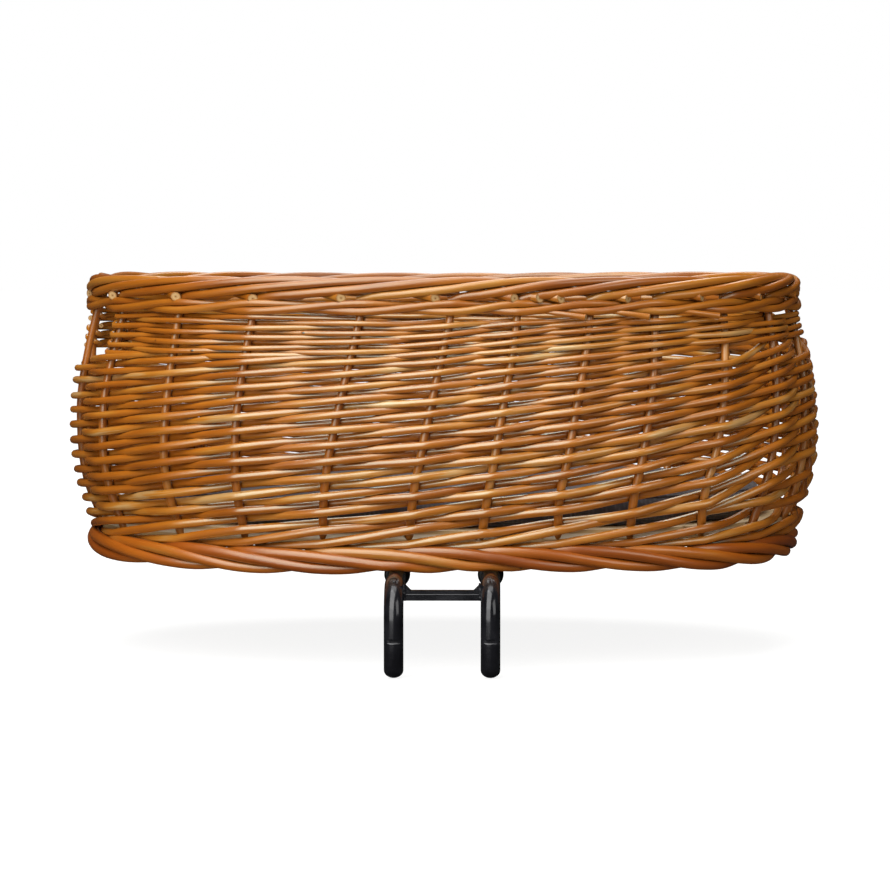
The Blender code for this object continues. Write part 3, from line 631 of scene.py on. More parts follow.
def makeStakes():
    bottom, top = footBox["high"].z - stakes["sunk"], wall["top"] + stakes["above"]
    steps, sway = stakes["steps"], stakes["sway"]
    for index in range(stakeCount):
        path, radii = [], []
        seed = index * stakes["seedStep"]
        for step in range(steps + 1):
            height = bottom + (top - bottom) * step / steps
            outset = unevenness(seed, height * stakes["swaysPerMetre"], 0.0) * sway
            lean = unevenness(seed, height * stakes["leansPerMetre"], 4.0) * sway * 2 / girth
            path.append(wallPoint(stakeShare(index, height) + lean, height, outset))
            radii.append(stakes["radius"] * (stakes["thickness"] - stakes["taper"] * step / steps))
        rod = {"path": path, "radii": radii, "tone": drawn(*stakes["tone"])}
        piece = sweepRods(f"willow_stake_{index + 1:02d}", [rod], [willowStake], stakes["sides"])
        dress(piece, [f"stake_{index + 1:02d}"])


# Siding: long strands, one begun at each stake. Slots are counted up from the foot, and at every
# stake that it passes a strand is one slot higher. In two gaps at the right end two more strands are
# laid in below, and those above rise by three. The thick ends start at the floor's edge, pass in
# front of two stakes, and then it is one and one

siding = {
    "startHeights": (0.0122, 0.0163, 0.0250, 0.0306),
    "firstSlot": 4,
    "topSlot": 25,
    "lowHeight": 0.0360,
    "lowStep": 0.0054,
    "belowHoles": 0.0010,
    "startShare": 0.12,
    "startOutset": 0.002,
    "outerSlots": (1, 2),
    "jumpPlaces": (20, 22),
    "jumpAbove": 2,
    "jump": 3,
    "extraStarts": ((20, 0.10, 3), (20, 0.78, 4), (22, 0.10, 3), (22, 0.78, 4)),
    "holePlace": 9,
    "holeSlot": 22,
    "tailShare": 0.12,
    "slotPitch": 0.0048,
    "slotLifts": (
        0.8, 0.5, 0.2, 0.0, 0.0, 0.0, 0.0, 0.0, 0.0, -0.2, -0.5, -0.8,
        -1.0, -0.4, 0.0, 0.3, 0.5, 0.6, 0.8, 1.5, 2.4, 1.7, 2.6, 1.2,
    ),
    "liftSlots": (2, 9, 14, 25),
    "buttRadius": 0.0028,
    "tipRadius": 0.0021,
    "thickness": (0.95, 0.10),
    "gapSteps": (0.0, 0.06, 0.14, 0.28, 0.5, 0.72, 0.86, 0.94),
    "bend": 0.985,
    "pinch": 0.0002,
    "waver": 0.0016,
    "waversPerStake": 0.9,
    "swing": 0.0006,
    "swingsPerStake": 1.3,
    "settledAbove": 1.5,
    "seedStep": 7.7,
    "drop": (-0.0026, 0.0038),
    "dropSlots": (1.2, 2.6, 4.5, 9.0),
    "tone": (0.25, 0.6),
}
sidingRise = handHoleBox["low"].z - siding["belowHoles"] - siding["lowHeight"]
slotSpan = siding["topSlot"] - 1 - siding["firstSlot"]
stepLoss = (siding["lowStep"] * slotSpan - sidingRise) / slotSpan ** 2


def slotHeight(slot):
    first = siding["firstSlot"]
    if slot < first:
        heights = (*siding["startHeights"], siding["lowHeight"])
        index = min(math.floor(slot), first - 1)
        share = slot - index
        return heights[index] * (1 - share) + heights[index + 1] * share
    count = slot - first
    return siding["lowHeight"] + siding["lowStep"] * count - stepLoss * count * count


def raisedHeight(slot, place):
    # The wall was beaten down less evenly than that: the slots lie higher at some stakes
    low, full, fading, gone = siding["liftSlots"]
    place %= stakeCount
    top = clamped((slot - fading) / (gone - fading))
    beaten = siding["slotLifts"][place] * siding["slotPitch"]
    lift = beaten * (1 - top) + tilt(stakes["places"][place]) * top
    return slotHeight(slot) + lift * clamped((slot - low) / (full - low))


def strandRadius(slot):
    share = max(0.0, slot - siding["firstSlot"]) / slotSpan
    return siding["buttRadius"] + (siding["tipRadius"] - siding["buttRadius"]) * min(share, 1.0)


def dropShare(slot):
    # How much of a strand's own drop shows: all of it just above the floor, none further up
    start, full, fading, gone = siding["dropSlots"]
    return eased(clamped((slot - start) / (full - start)) * clamped((gone - slot) / (gone - fading)))


def weaveShape(share):
    # From 1 at one stake to -1 at the next, straight between and bent close round the stakes
    bend = siding["bend"]
    return math.asin(bend * math.cos(math.pi * share)) / math.asin(bend)


def slotReach(slot, thick):
    # How far outside the stakes' middle a strand passes: behind them is below zero
    reach = stakes["radius"] + strandRadius(slot) * thick - siding["pinch"]
    if slot not in siding["outerSlots"] and (slot % 2 or slot == 0):
        return -reach
    board = wall["boardEdge"] + strandRadius(slot) * thick
    share = clamped((slotHeight(slot) - wall["floorTop"]) / strandRadius(slot))
    return board + (reach - board) * share


def strandCourse(place, slot):
    # The slots at each stake that a strand passes, and how many stakes on it ends, behind one
    slots = [slot]
    while True:
        slot = slots[-1]
        here = place % stakeCount
        if here == siding["holePlace"] and slot >= siding["holeSlot"]:
            return slots + [slot + 1], len(slots) - 1 + siding["tailShare"]
        jumps = here in siding["jumpPlaces"] and slot > siding["jumpAbove"] and len(slots) > 1
        slots.append(slot + (siding["jump"] if jumps else 1))
        place += 1
        if slots[-1] > siding["topSlot"]:
            return slots, len(slots) - (2 if slot % 2 else 3) + siding["tailShare"]


def sidingStrand(start, startShare, firstSlot, thick, seed):
    path, radii = [], []
    seed *= siding["seedStep"]
    drop = drawn(*siding["drop"])
    slots, end = strandCourse(start, firstSlot)
    strokes = [startShare] + [step for step in siding["gapSteps"] if step > startShare]
    for whole in range(1, math.ceil(end)):
        strokes += [whole + step for step in siding["gapSteps"]]
    strokes = [stroke for stroke in strokes if stroke < end] + [end]
    for stroke in strokes:
        index = math.floor(stroke)
        share = stroke - index
        low, high = slots[index], slots[index + 1]
        slot = low + (high - low) * share
        here, there = slotReach(low, thick), slotReach(high, thick)
        if low == 0:
            outset = siding["startOutset"] + (there - siding["startOutset"]) * share
        elif here * there > 0:
            outset = here + (there - here) * share
        else:
            outset = (here + there) / 2 + (here - there) / 2 * weaveShape(share)
        waver = unevenness(stroke * siding["waversPerStake"], seed, 0.0) * siding["waver"]
        swing = unevenness(stroke * siding["swingsPerStake"], seed, 9.0) * siding["swing"]
        heightHere = raisedHeight(low, start + index)
        heightThere = raisedHeight(high, start + index + 1)
        height = heightHere * (1 - share) + heightThere * share
        height += waver * clamped(slot - siding["settledAbove"]) + drop * dropShare(slot)
        path.append(wallPoint(placeShare(start + stroke, height), height, outset + swing))
        radii.append(strandRadius(slot) * thick)
    return {"path": path, "radii": radii, "tone": drawn(*siding["tone"])}


def makeSiding():
    stoodFor = [[f"siding_row_{row}"] for row in range(1, 7)] + [["floor_wale"], ["bottom_wale"]]
    starts = [(index, siding["startShare"], 0) for index in range(stakeCount)]
    starts += siding["extraStarts"]
    for index, (start, startShare, firstSlot) in enumerate(starts):
        rod = sidingStrand(start, startShare, firstSlot, drawn(*siding["thickness"]), index)
        piece = sweepRods(f"siding_strand_{index + 1:02d}", [rod], [willowPale, willowCut])
        dress(piece, stoodFor[index] if index < len(stoodFor) else ())


# Rows beside the hand holes: thinner strands that run to and fro, turning round the end stakes. At
# the front they climb towards the right, where new ones start below and the upper ones end under
# the wale

band = {
    "rows": 9,
    "radius": 0.00172,
    "taper": 0.00024,
    "rowsPerRod": 3,
    "turnSteps": 6,
    "underWale": 0.6,
    "waver": 0.0016,
    "waversPerStake": 0.8,
    "rowStep": 2.7,
    "seedStep": 3.1,
    "gather": 0.7,
    "endReach": 0.9,
    "climbRows": {"front": 8, "back": 0},
    "climbPlaces": (15.5, 22.0),
    "below": -0.6,
    "above": 8.8,
    "tone": (0.3, 0.5),
}


def climbed(side, place):
    start, end = band["climbPlaces"]
    return band["climbRows"][side] * clamped((place - start) / (end - start))


def bandHeight(side, row, place, first, last, low, rise):
    # Two rows that turn into each other round an end stake are drawn together there
    lift = tilt(placeShare(place, low))
    step = rise - lift / (band["rows"] - 1)
    height = low + lift + step * (row + climbed(side, place))
    turn = 1 if row % 2 else -1
    for end, joined in ((first, row + turn), (last, row - turn)):
        away = abs(place - end)
        if away < 1 and band["below"] <= joined + climbed(side, end) <= band["above"]:
            height += rise * (joined - row) / 2 * band["gather"] * (1 - away) ** 2
    return height


def bandRow(side, row, first, last, low, rise, radius, seed):
    reach = stakes["radius"] + radius - siding["pinch"]
    cut = -band["endReach"] * reach
    points = []
    places = [index + share for index in range(first, last) for share in siding["gapSteps"]]
    for place in (*places, last):
        if not band["below"] <= row + climbed(side, place) <= band["above"]:
            continue
        share = place - math.floor(place)
        sign = 1 if (math.floor(place) + row) % 2 == 0 else -1
        outset = sign * reach * (weaveShape(share) if place < last else 1)
        free = min(1.0, place - first, last - place)
        stray = unevenness(place * band["waversPerStake"], seed * band["seedStep"], row * band["rowStep"])
        height = bandHeight(side, row, place, first, last, low, rise) + stray * band["waver"] * free
        points.append((place, height, outset))
    while points and points[0][0] > first and points[0][2] > cut:
        points.pop(0)
    while points and points[-1][0] < last and points[-1][2] > cut:
        points.pop()
    return points if row % 2 else points[::-1]


def bandTurn(places, ahead, last, spacing):
    # Round an end stake, from one row's end to the next row's start
    edge, height, outset = places[-1]
    side = 1 if edge == last else -1
    turn = []
    for step in range(1, band["turnSteps"]):
        angle = math.pi * step / band["turnSteps"]
        turn.append((
            edge + side * abs(outset) * math.sin(angle) / spacing,
            height + (ahead[0][1] - height) * step / band["turnSteps"],
            outset * math.cos(angle),
        ))
    return turn


def bandRods(side, first, last, seed):
    low = handHoleBox["low"].z + band["radius"]
    high = topWaleBox["low"].z - band["radius"] * band["underWale"]
    rise = (high - low) / (band["rows"] - 1)
    rowsPerRod = band["rowsPerRod"]
    courses, rowsDone = [], 0
    for row in range(-band["climbRows"][side], band["rows"]):
        radius = band["radius"] + band["taper"] * (0.5 - (row % rowsPerRod) / rowsPerRod)
        points = bandRow(side, row, first, last, low, rise, radius, seed)
        if len(points) < 3:
            continue
        goesOn = courses and courses[-1][0][-1][0] == points[0][0] and rowsDone < rowsPerRod
        if goesOn:
            places, radii = courses[-1]
            turn = bandTurn(places, points, last, girth / stakeCount)
            places += turn + points
            radii += [radius] * (len(turn) + len(points))
            rowsDone += 1
        else:
            courses.append((points, [radius] * len(points)))
            rowsDone = 1
    rods = []
    for places, radii in courses:
        path = [wallPoint(placeShare(place, height), height, out) for place, height, out in places]
        rods.append({"path": path, "radii": radii, "tone": drawn(*band["tone"])})
    return rods


def makeBands():
    runs = {"front": stakes["frontRun"], "back": stakes["backRun"]}
    for seed, (side, (first, last)) in enumerate(runs.items()):
        rods = bandRods(side, first, last, seed)
        piece = sweepRods(f"{side}_band_strands", rods, [willowPale, willowCut])
        dress(piece, [f"{side}_upper_row_1", f"{side}_upper_row_2"])


# Top wale: three strands, each in front of two stakes and behind the third, one turn of the wall

topWale = {
    "radius": 0.00250,
    "low": 0.1606,
    "high": 0.1655,
    "behind": 0.1638,
    "count": 3,
    "tone": (0.3, 0.4),
    "ends": (17.80, 18.71, 19.68, 30, 31, 32),
    "endSteps": (
        (-0.42, 0.1605, 0.0035), (-0.2, 0.1592, 0.0070), (0.0, 0.1578, 0.0088), (0.10, 0.1570, 0.0094)),
    "endPerSpan": 4,
    "endRadius": 0.0014,
    "endSwell": 0.0008,
    "endFacing": 0.5,
    "endTone": 0.6,
    "sides": 12,
}


def waleStrand(start):
    radius = topWale["radius"]
    reach = stakes["radius"] + radius
    phases = [(-reach, topWale["behind"]), (reach, topWale["low"]), (reach, topWale["high"])]
    path = []
    for stroke in range(stakeCount + 1):
        outset, height = phases[stroke % 3]
        nextOutset, nextHeight = phases[(stroke + 1) % 3]
        for share in siding["gapSteps"] if stroke < stakeCount else (0.0,):
            out = (outset + nextOutset) / 2 + (outset - nextOutset) / 2 * weaveShape(share)
            up = height + (nextHeight - height) * eased(share)
            path.append(wallPoint(placeShare(start + stroke + share, up), up, out))
    return {"path": path, "radii": [radius] * len(path), "tone": drawn(*topWale["tone"])}


def waleEnd(place):
    # A strand's thick end, laid down outside the wale to the right of where it came through
    steps = smoothPath(topWale["endSteps"], topWale["endPerSpan"])
    path = [wallPoint(placeShare(place + along, up), up, out) for along, up, out in steps]
    count = len(path)
    radii = [topWale["endRadius"] + topWale["endSwell"] * index / count for index in range(count)]
    facing = (path[-1] - path[-2]).normalized() + wallNormal(path[-1]) * topWale["endFacing"]
    return {"path": path, "radii": radii, "tone": topWale["endTone"], "cut": facing.normalized()}


def makeTopWale():
    rods = [waleStrand(start) for start in range(topWale["count"])]
    piece = sweepRods("top_wale_strands", rods, [willowGold, willowCut], topWale["sides"])
    dress(piece, ["top_wale"])
    ends = [waleEnd(place) for place in topWale["ends"]]
    dress(sweepRods("top_wale_ends", ends, [willowGold, willowCut], topWale["sides"]))


# Top border: every stake's upper end is laid to the right, over the outside, the top and the inside

topBorder = {
    "radius": 0.00272,
    "thickness": (0.94, 0.12),
    "entry": (-0.04, -0.0150, 0.0004),
    "startPlace": 0.14,
    "endPlace": 4.1,
    "startTurn": -52,
    "turnPerStake": 66,
    "perSpan": 3,
    "spans": 14,
    "firstSeed": 0,
    "sides": 12,
}
topBorderLevel = topBorderBox["high"].z
ringHalfHeight = (topBorderLevel - wall["top"]) / 2

# Foot border: thick rods, each from beside a stake, down to the right and under the next ones. Its
# route is in stakes along, metres up and metres out

footBorder = {
    "radius": 0.0037,
    "thickness": (0.94, 0.08),
    "route": (
        (-0.20, 0.0118, -0.0014), (0.0, 0.0126, 0.0014), (0.30, 0.0124, 0.0036), (0.7, 0.0112, 0.0046),
        (1.1, 0.0088, 0.0050), (1.5, 0.0057, 0.0047), (1.9, 0.0031, 0.0036), (2.3, 0.0023, 0.0008),
        (2.7, 0.0042, -0.0026), (3.1, 0.0066, -0.0038),
    ),
    "perSpan": 4,
    "firstSeed": 50,
    "tubeSpread": 0.013,
    "sides": 14,
}
tubeX = boxOf("right_tube")["middle"].x

# What the rods of both borders share
borderRods = {"wobble": 0.0004, "wobblesPerStake": 1.1, "seedStep": 1.7, "start": 1.03, "taper": 0.10,
              "tone": (0.2, 0.6)}


def topBorderRoute():
    # Round the ring's middle line: from low outside, up, over the top and down inside
    reach = ringHalfHeight - topBorder["radius"]
    start, end = topBorder["startPlace"], topBorder["endPlace"]
    route = [topBorder["entry"]]
    for step in range(topBorder["spans"] + 1):
        place = start + (end - start) * (step / topBorder["spans"])
        angle = math.radians(topBorder["startTurn"] + topBorder["turnPerStake"] * (place - start))
        route.append((place, reach * math.sin(angle) - ringHalfHeight, reach * math.cos(angle)))
    return route


def footSag(share):
    share %= 1.0
    return sum(drop * math.exp(-((share - middle) / spread) ** 2) for middle, spread, drop in footSags)


def borderRod(index, border, route):
    atFoot = border is footBorder
    radius = border["radius"] * drawn(*border["thickness"])
    seed = border["firstSeed"] + index * borderRods["seedStep"]
    path, radii = [], []
    for place, up, outset in smoothPath(route, border["perSpan"]):
        wobble = unevenness(place * borderRods["wobblesPerStake"], seed, 3.0) * borderRods["wobble"]
        share = placeShare(index + place, wall["floorTop"] if atFoot else wall["top"])
        if atFoot:
            height, pull = up + wobble - footSag(share), wall["floorDrawIn"]
        else:
            height = topBorderLevel + up + wobble
            pull = drawIn(height)
        path.append(wallPoint(share, height, outset + wobble, pull))
        radii.append(radius * (borderRods["start"] - borderRods["taper"] * (place / route[-1][0])))
    return {"path": path, "radii": radii, "tone": drawn(*borderRods["tone"])}


def liftOverTubes(point, radius):
    # The foot's rods hang a little lower than the tubes' tops, except where they cross them
    near = math.exp(-((abs(point.x) - tubeX) / footBorder["tubeSpread"]) ** 2)
    if point.y < wall["centreY"]:
        point.z += max(0.0, radius - point.z) * near
    return point


def makeTopBorder():
    route = topBorderRoute()
    rods = [borderRod(index, topBorder, route) for index in range(stakeCount)]
    piece = sweepRods("top_border_rods", rods, [willowGold, willowCut], topBorder["sides"])
    dress(piece, ["top_border"])


def makeFootBorder():
    rods = [borderRod(index, footBorder, footBorder["route"]) for index in range(stakeCount)]
    for rod in rods:
        rod["path"] = [liftOverTubes(point, radius) for point, radius in zip(rod["path"], rod["radii"])]
    piece = sweepRods("foot_border_rods", rods, [willowFoot, willowCut], footBorder["sides"])
    dress(piece, ["foot_border"])


butts = {
    "radius": 0.0029,
    "thinning": 0.20,
    "length": 0.021,
    "steps": 4,
    "drop": -0.0136,
    "dropJitter": 0.0010,
    "outset": (0.0060, 0.0012),
    "frontPlaces": (11.95, 13.0, 14.0, 14.82, 15.81, 16.92, 17.27, 17.56, 18.52, 19.58, 20.64),
    "hiddenPlaces": (*range(1, 12), 22, 23),
    "place": -0.14,
    "placeJitter": 0.16,
    "lookAhead": 0.002,
    "heading": (0.82, 0.52, -0.16),
    "cut": (0.5, 0.85, 0.3),
    "tone": (0.35, 0.4),
    "sides": 14,
}


def makeButts():
    # The border's cut ends, which come out under it just left of each stake. Their heading and the
    # way of their cut are along the wall, out of it and up
    rods = []
    steps = butts["steps"]
    hidden = [place + butts["place"] + drawn(-0.5, 1) * butts["placeJitter"]
              for place in butts["hiddenPlaces"]]
    for place in (*butts["frontPlaces"], *hidden):
        height = topBorderLevel + butts["drop"] + drawn(-0.5, 1) * butts["dropJitter"]
        share = placeShare(place, wall["top"])
        tip = wallPoint(share, height, drawn(*butts["outset"]))
        here, ahead = (wallPoint(share + step, height, butts["outset"][0])
                       for step in (0, butts["lookAhead"]))
        along, out = (ahead - here).normalized(), wallNormal(tip)
        alongShare, outShare, upShare = butts["heading"]
        axis = (along * alongShare + out * outShare + Vector((0, 0, upShare))).normalized()
        path = [tip - axis * butts["length"] * (1 - step / steps) for step in range(steps + 1)]
        thin = 1 - butts["thinning"]
        radii = [butts["radius"] * (thin + butts["thinning"] * step / steps) for step in range(steps + 1)]
        alongShare, outShare, upShare = butts["cut"]
        cut = out * outShare + along * alongShare + Vector((0, 0, drawn(-0.5, 1) * upShare))
        rods.append({"path": path, "radii": radii, "tone": drawn(*butts["tone"]), "cut": cut.normalized()})
    dress(sweepRods("top_border_butts", rods, [willowGold, willowCut], butts["sides"]))


makeStakes()
makeSiding()
makeBands()
makeTopWale()
makeTopBorder()
makeButts()
makeFootBorder()
print("basket woven")

# The pad: a sewn cover over foam, swollen a little by a cloth simulation, with piped seams

pad = {
    "voxel": 0.005,
    "shrink": 0.0022,
    "pressure": 4.0,
    "quality": 5,
    "steps": 20,
    "cap": 0.006,
    "piping": 0.0014,
    "pipingSides": 8,
    "seamUp": (0.22, 0.80),
    "seamIn": 0.0008,
    "seamSteps": 160,
}
padBox = boxOf("cushion")


def applyAll(piece):
    bpy.context.view_layer.update()
    graph = bpy.context.evaluated_depsgraph_get()
    made = bpy.data.meshes.new_from_object(piece.evaluated_get(graph))
    piece.modifiers.clear()
    piece.data = made


def swell(piece):
    # Gas pressure rounds the cover, within a cap and within the solid's box
    starts = [vertex.co.copy() for vertex in piece.data.vertices]
    cloth = piece.modifiers.new("cloth", "CLOTH")
    cloth.settings.use_pressure = True
    cloth.settings.uniform_pressure_force = pad["pressure"]
    cloth.settings.effector_weights.gravity = 0.0
    cloth.settings.quality = pad["quality"]
    cloth.point_cache.frame_start = 1
    cloth.point_cache.frame_end = pad["steps"]
    for step in range(1, pad["steps"] + 1):
        bpy.context.scene.frame_set(step)
    applyAll(piece)
    bpy.context.scene.frame_set(1)
    for vertex, start in zip(piece.data.vertices, starts):
        moved = vertex.co - start
        if moved.length > pad["cap"]:
            vertex.co = start + moved.normalized() * pad["cap"]
        for axis in range(3):
            vertex.co[axis] = min(max(vertex.co[axis], padBox["low"][axis]), padBox["high"][axis])


def makePad():
    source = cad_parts["cushion"]
    mesh = bpy.data.meshes.new_from_object(source)
    mesh.transform(source.matrix_world)
    mesh.materials.clear()
    piece = placed(bpy.data.objects.new("sewn_pad", mesh))
    for vertex in mesh.vertices:
        away = vertex.co - padBox["middle"]
        flat = Vector((away.x, away.y, 0.0))
        vertex.co -= flat.normalized() * min(pad["shrink"], flat.length)
        if away.z > 0:
            vertex.co.z -= pad["shrink"] / 2
    remesh = piece.modifiers.new("remesh", "REMESH")
    remesh.mode = "VOXEL"
    remesh.voxel_size = pad["voxel"]
    applyAll(piece)
    swell(piece)
    smooth = piece.modifiers.new("smooth", "SUBSURF")
    smooth.levels = smooth.render_levels = 1
    applyAll(piece)
    piece.data.shade_smooth()
    piece.data.materials.append(canvas)
    dress(piece, ["cushion"], "cushion")
    return piece


def makePiping(piece):
    # Round the pad's top and bottom seams, found by looking in from all sides
    points = [vertex.co for vertex in piece.data.vertices]
    tree = BVHTree.FromPolygons(points, [face.vertices for face in piece.data.polygons])
    low, high = padBox["low"], padBox["high"]
    rods = []
    for up in pad["seamUp"]:
        middle = Vector(((low.x + high.x) / 2, (low.y + high.y) / 2, low.z + (high.z - low.z) * up))
        path = []
        for step in range(pad["seamSteps"] + 1):
            angle = 2 * math.pi * step / pad["seamSteps"]
            out = Vector((math.cos(angle), math.sin(angle), 0.0))
            hit = tree.ray_cast(middle + out, -out)[0]
            path.append(hit - out * pad["seamIn"])
        rods.append({"path": path, "radii": [pad["piping"]] * len(path), "tone": 0.5})
    piping = sweepRods("pad_piping", rods, [canvas, canvas], pad["pipingSides"])
    dress(piping, (), "cushion")


makePiping(makePad())
print("pad sewn")

# Carrier: two bent tubes, each with a latch notch in its leg and a collar behind the foot

carrier = {
    "radius": 0.006,
    "bendRadius": 0.020,
    "bendSteps": 14,
    "sides": 40,
    "domeDepth": 0.0048,
    "domeSteps": 8,
    "notchUp": 0.0225,
    "notchHeight": 0.0024,
    "notchDepth": 0.0014,
    "notchSteps": 8,
    "collar": (
        (0.0828, 0.0066), (0.0831, 0.0077), (0.0838, 0.0082), (0.0880, 0.0082), (0.0887, 0.0077),
        (0.0890, 0.0066)),
    "weldRadius": 0.0010,
    "weldWobble": 0.0002,
    "weldWobbles": (40, 60, 900),
    "weldSteps": 14,
    "weldSides": 12,
    "foldRadius": 0.0005,
    "foldUp": 0.36,
    "foldIn": 0.0003,
    "bevel": 0.0005,
    "bevelSteps": 2,
}


def tubePath(low, high):
    # From the rear end forward, round the bend, down past the notch and to the domed end
    radius, bend = carrier["radius"], carrier["bendRadius"]
    x, level = (low.x + high.x) / 2, high.z - radius
    points = [(high.y, level, radius), (high.y / 2, level, radius)]
    for step in range(carrier["bendSteps"] + 1):
        angle = math.pi / 2 * step / carrier["bendSteps"]
        points.append((bend - bend * math.sin(angle), level - bend + bend * math.cos(angle), radius))
    notch = low.z + carrier["notchUp"]
    for step in range(-carrier["notchSteps"], carrier["notchSteps"] + 1):
        points.append((0.0, notch - carrier["notchHeight"] * step / carrier["notchSteps"], radius))
    depth = carrier["domeDepth"]
    for step in range(carrier["domeSteps"]):
        angle = math.pi / 2 * step / carrier["domeSteps"]
        points.append((0.0, low.z + depth - depth * math.sin(angle), radius * math.cos(angle)))
    return [Vector((x, y, z)) for y, z, _ in points], [size for _, _, size in points]


def makeTubes():
    for side in ("left", "right"):
        low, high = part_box(f"{side}_tube")
        path, radii = tubePath(low, high)
        rod = {"path": path, "radii": radii, "tone": 0.5}
        piece = sweepRods(f"steel_tube_{side}", [rod], [steel, steel], carrier["sides"])
        notch, back = low.z + carrier["notchUp"], carrier["notchDepth"] - carrier["radius"]
        for vertex in piece.data.vertices:
            if abs(vertex.co.z - notch) < carrier["notchHeight"] / 2:
                vertex.co.y = max(vertex.co.y, back)
        dress(piece, [f"{side}_tube"])
        ring = {"path": [Vector((path[0].x, y, path[0].z)) for y, _ in carrier["collar"]],
                "radii": [size for _, size in carrier["collar"]], "tone": 0.5}
        collar = sweepRods(f"tube_collar_{side}", [ring], [rubber, rubber], carrier["sides"])
        dress(collar)


def weldBead(x, y, low, high):
    path, radii = [], []
    across, along, upwards = carrier["weldWobbles"]
    for step in range(carrier["weldSteps"] + 1):
        z = low + (high - low) * step / carrier["weldSteps"]
        wobble = unevenness(x * across, y * along, z * upwards) * carrier["weldWobble"]
        path.append(Vector((x + wobble, y, z)))
        radii.append(carrier["weldRadius"] + wobble)
    return {"path": path, "radii": radii, "tone": 0.5}


def makeWelds():
    # The beads that join the cross brace's flared ends to the tubes, front and rear, and the fold
    # pressed along the middle of its front
    low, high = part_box("cross_brace")
    rods = [weldBead(x, y, low.z, high.z) for x in (low.x, high.x) for y in (low.y, high.y)]
    y, z = low.y + carrier["foldIn"], low.z + (high.z - low.z) * carrier["foldUp"]
    rods.append({"path": [Vector((x, y, z)) for x in (low.x, 0.0, high.x)],
                 "radii": [carrier["foldRadius"]] * 3, "tone": 0.5})
    dress(sweepRods("brace_welds", rods, [steel, steel], carrier["weldSides"]))


def paintNode(name, material):
    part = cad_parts[name]
    part.data.materials.clear()
    part.data.materials.append(material)
    return part


def finishNode(name, material):
    # A part carried over from the solids gets its material and finely rounded edges
    bevel = paintNode(name, material).modifiers.new("roundedEdges", "BEVEL")
    bevel.width = carrier["bevel"]
    bevel.segments = carrier["bevelSteps"]
    bevel.limit_method = "ANGLE"


paintNode("floor_board", plywood)
makeTubes()
makeWelds()
for end in ("front", "rear"):
    finishNode(f"{end}_batten", batten)
    finishNode(f"{end}_strap", steel)
    for side in ("left", "right"):
        for kind in ("bolt", "nut"):
            finishNode(f"{end}_{side}_{kind}", zinc)
finishNode("cross_brace", steel)
print("carrier fitted")


# Camera, light and floor

view = {
    "focalPixels": 3642,
    "imageSide": 890,
    "horizonY": 220,
    "middleX": 446.5,
    "sensorMm": 36.0,
    "distance": 2.415,
    "height": 0.217,
    "turnDeg": 0.74,
}
# Degrees round from the front to the right and up, metres away, width and height, and watts
softboxes = {
    "keySoftbox1": (-24, 9, 2.2, (1.75, 1.06), 18),
    "keySoftbox2": (-24, 36, 2.2, (1.75, 1.06), 24),
    "keySoftbox3": (-24, 63, 2.2, (1.75, 1.06), 21),
    "keySoftbox4": (-24, 90, 2.2, (1.75, 1.06), 14),
    "fillSoftbox": (46, 24, 2.4, (1.2, 1.4), 10),
    "rearSoftbox": (180, 52, 2.4, (2.0, 1.2), 30),
}
studio = {
    "worldGlow": 0.02,
    "floorColour": "#868684",
    "floorRoughness": 0.9,
    "floorHalf": 12.0,
    "underTubes": 0.0005,
    "paleFrom": 0.3,
    "whiteFrom": 1.1,
    "pale": 0.88,
}


def makeCamera():
    data = bpy.data.cameras.new("camera")
    data.sensor_width = view["sensorMm"]
    data.lens = view["sensorMm"] * view["focalPixels"] / view["imageSide"]
    camera = placed(bpy.data.objects.new("camera", data))
    half = view["imageSide"] / 2
    tilted = math.atan((half - view["horizonY"]) / view["focalPixels"])
    aside = math.atan((view["middleX"] - half) / view["focalPixels"])
    turn = math.radians(view["turnDeg"])
    away = view["distance"]
    camera.location = (away * math.sin(turn), wall["centreY"] - away * math.cos(turn), view["height"])
    camera.rotation_euler = (math.pi / 2 - tilted, 0.0, turn + aside)
    bpy.context.scene.camera = camera


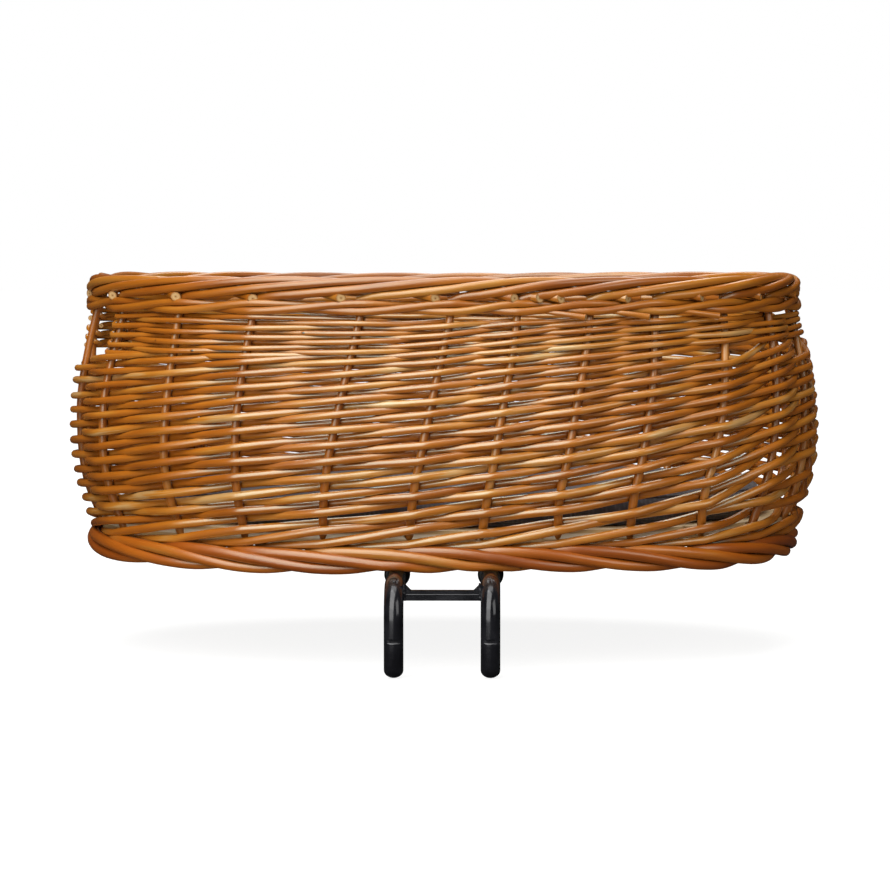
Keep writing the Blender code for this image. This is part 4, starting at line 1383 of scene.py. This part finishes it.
def makeSoftbox(name, aroundDeg, upDeg, away, size, power):
    # Placed round the basket's middle and facing it
    around, up = math.radians(aroundDeg), math.radians(upDeg)
    middle = Vector((0.0, wall["centreY"], wall["bellyHeight"]))
    across, along = math.sin(around) * math.cos(up), -math.cos(around) * math.cos(up)
    reach = Vector((across, along, math.sin(up)))
    data = bpy.data.lights.new(name, "AREA")
    data.shape = "RECTANGLE"
    data.size, data.size_y = size
    data.energy = power
    lamp = placed(bpy.data.objects.new(name, data))
    lamp.location = middle + reach * away
    lamp.rotation_euler = (-reach).to_track_quat("-Z", "Y").to_euler()


def whiteWhenSeen(tree):
    # 1 where the camera sees it, straight or through glass, and 0 for the light that it gives
    path = addNode(tree, "ShaderNodeLightPath")
    return addNode(tree, "ShaderNodeMath", {
        0: path.outputs["Is Camera Ray"], 1: path.outputs["Is Transmission Ray"]},
        operation="MAXIMUM").outputs[0]


def makeWorld():
    world = bpy.data.worlds.new("studio")
    bpy.context.scene.world = world
    world.use_nodes = True
    tree = world.node_tree
    strength = addNode(tree, "ShaderNodeMapRange", {
        "Value": whiteWhenSeen(tree), "To Min": studio["worldGlow"], "To Max": 1.0})
    fillInputs(tree, tree.nodes["Background"], {"Color": (1, 1, 1, 1), "Strength": strength.outputs[0]})


def makeFloor():
    form = bmesh.new()
    bmesh.ops.create_grid(form, x_segments=1, y_segments=1, size=studio["floorHalf"])
    mesh = bpy.data.meshes.new("studioFloor")
    form.to_mesh(mesh)
    form.free()
    floor = placed(bpy.data.objects.new("studioFloor", mesh))
    floor.location = (0.0, 0.0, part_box("left_tube")[0].z - studio["underTubes"])
    material, tree, surface = newMaterial("paintedFloor")
    place = addNode(tree, "ShaderNodeTexCoord").outputs["Object"]
    away = addNode(tree, "ShaderNodeVectorMath", {0: place}, operation="LENGTH")
    white = addNode(tree, "ShaderNodeMapRange", {
        "Value": away.outputs["Value"], "From Min": studio["paleFrom"],
        "From Max": studio["whiteFrom"], "To Min": studio["pale"], "To Max": 1.0})
    glow = addNode(tree, "ShaderNodeMath", {0: whiteWhenSeen(tree), 1: white.outputs[0]},
                   operation="MULTIPLY")
    fillInputs(tree, surface, {
        "Base Color": linear(studio["floorColour"]), "Roughness": studio["floorRoughness"],
        "Emission Color": (1, 1, 1, 1), "Emission Strength": glow.outputs[0]})
    mesh.materials.append(material)
    floor.visible_glossy = False


makeCamera()
for name, place in softboxes.items():
    makeSoftbox(name, *place)
makeWorld()
makeFloor()
bpy.context.scene.view_settings.view_transform = "Standard"
print("camera, lights and floor set")
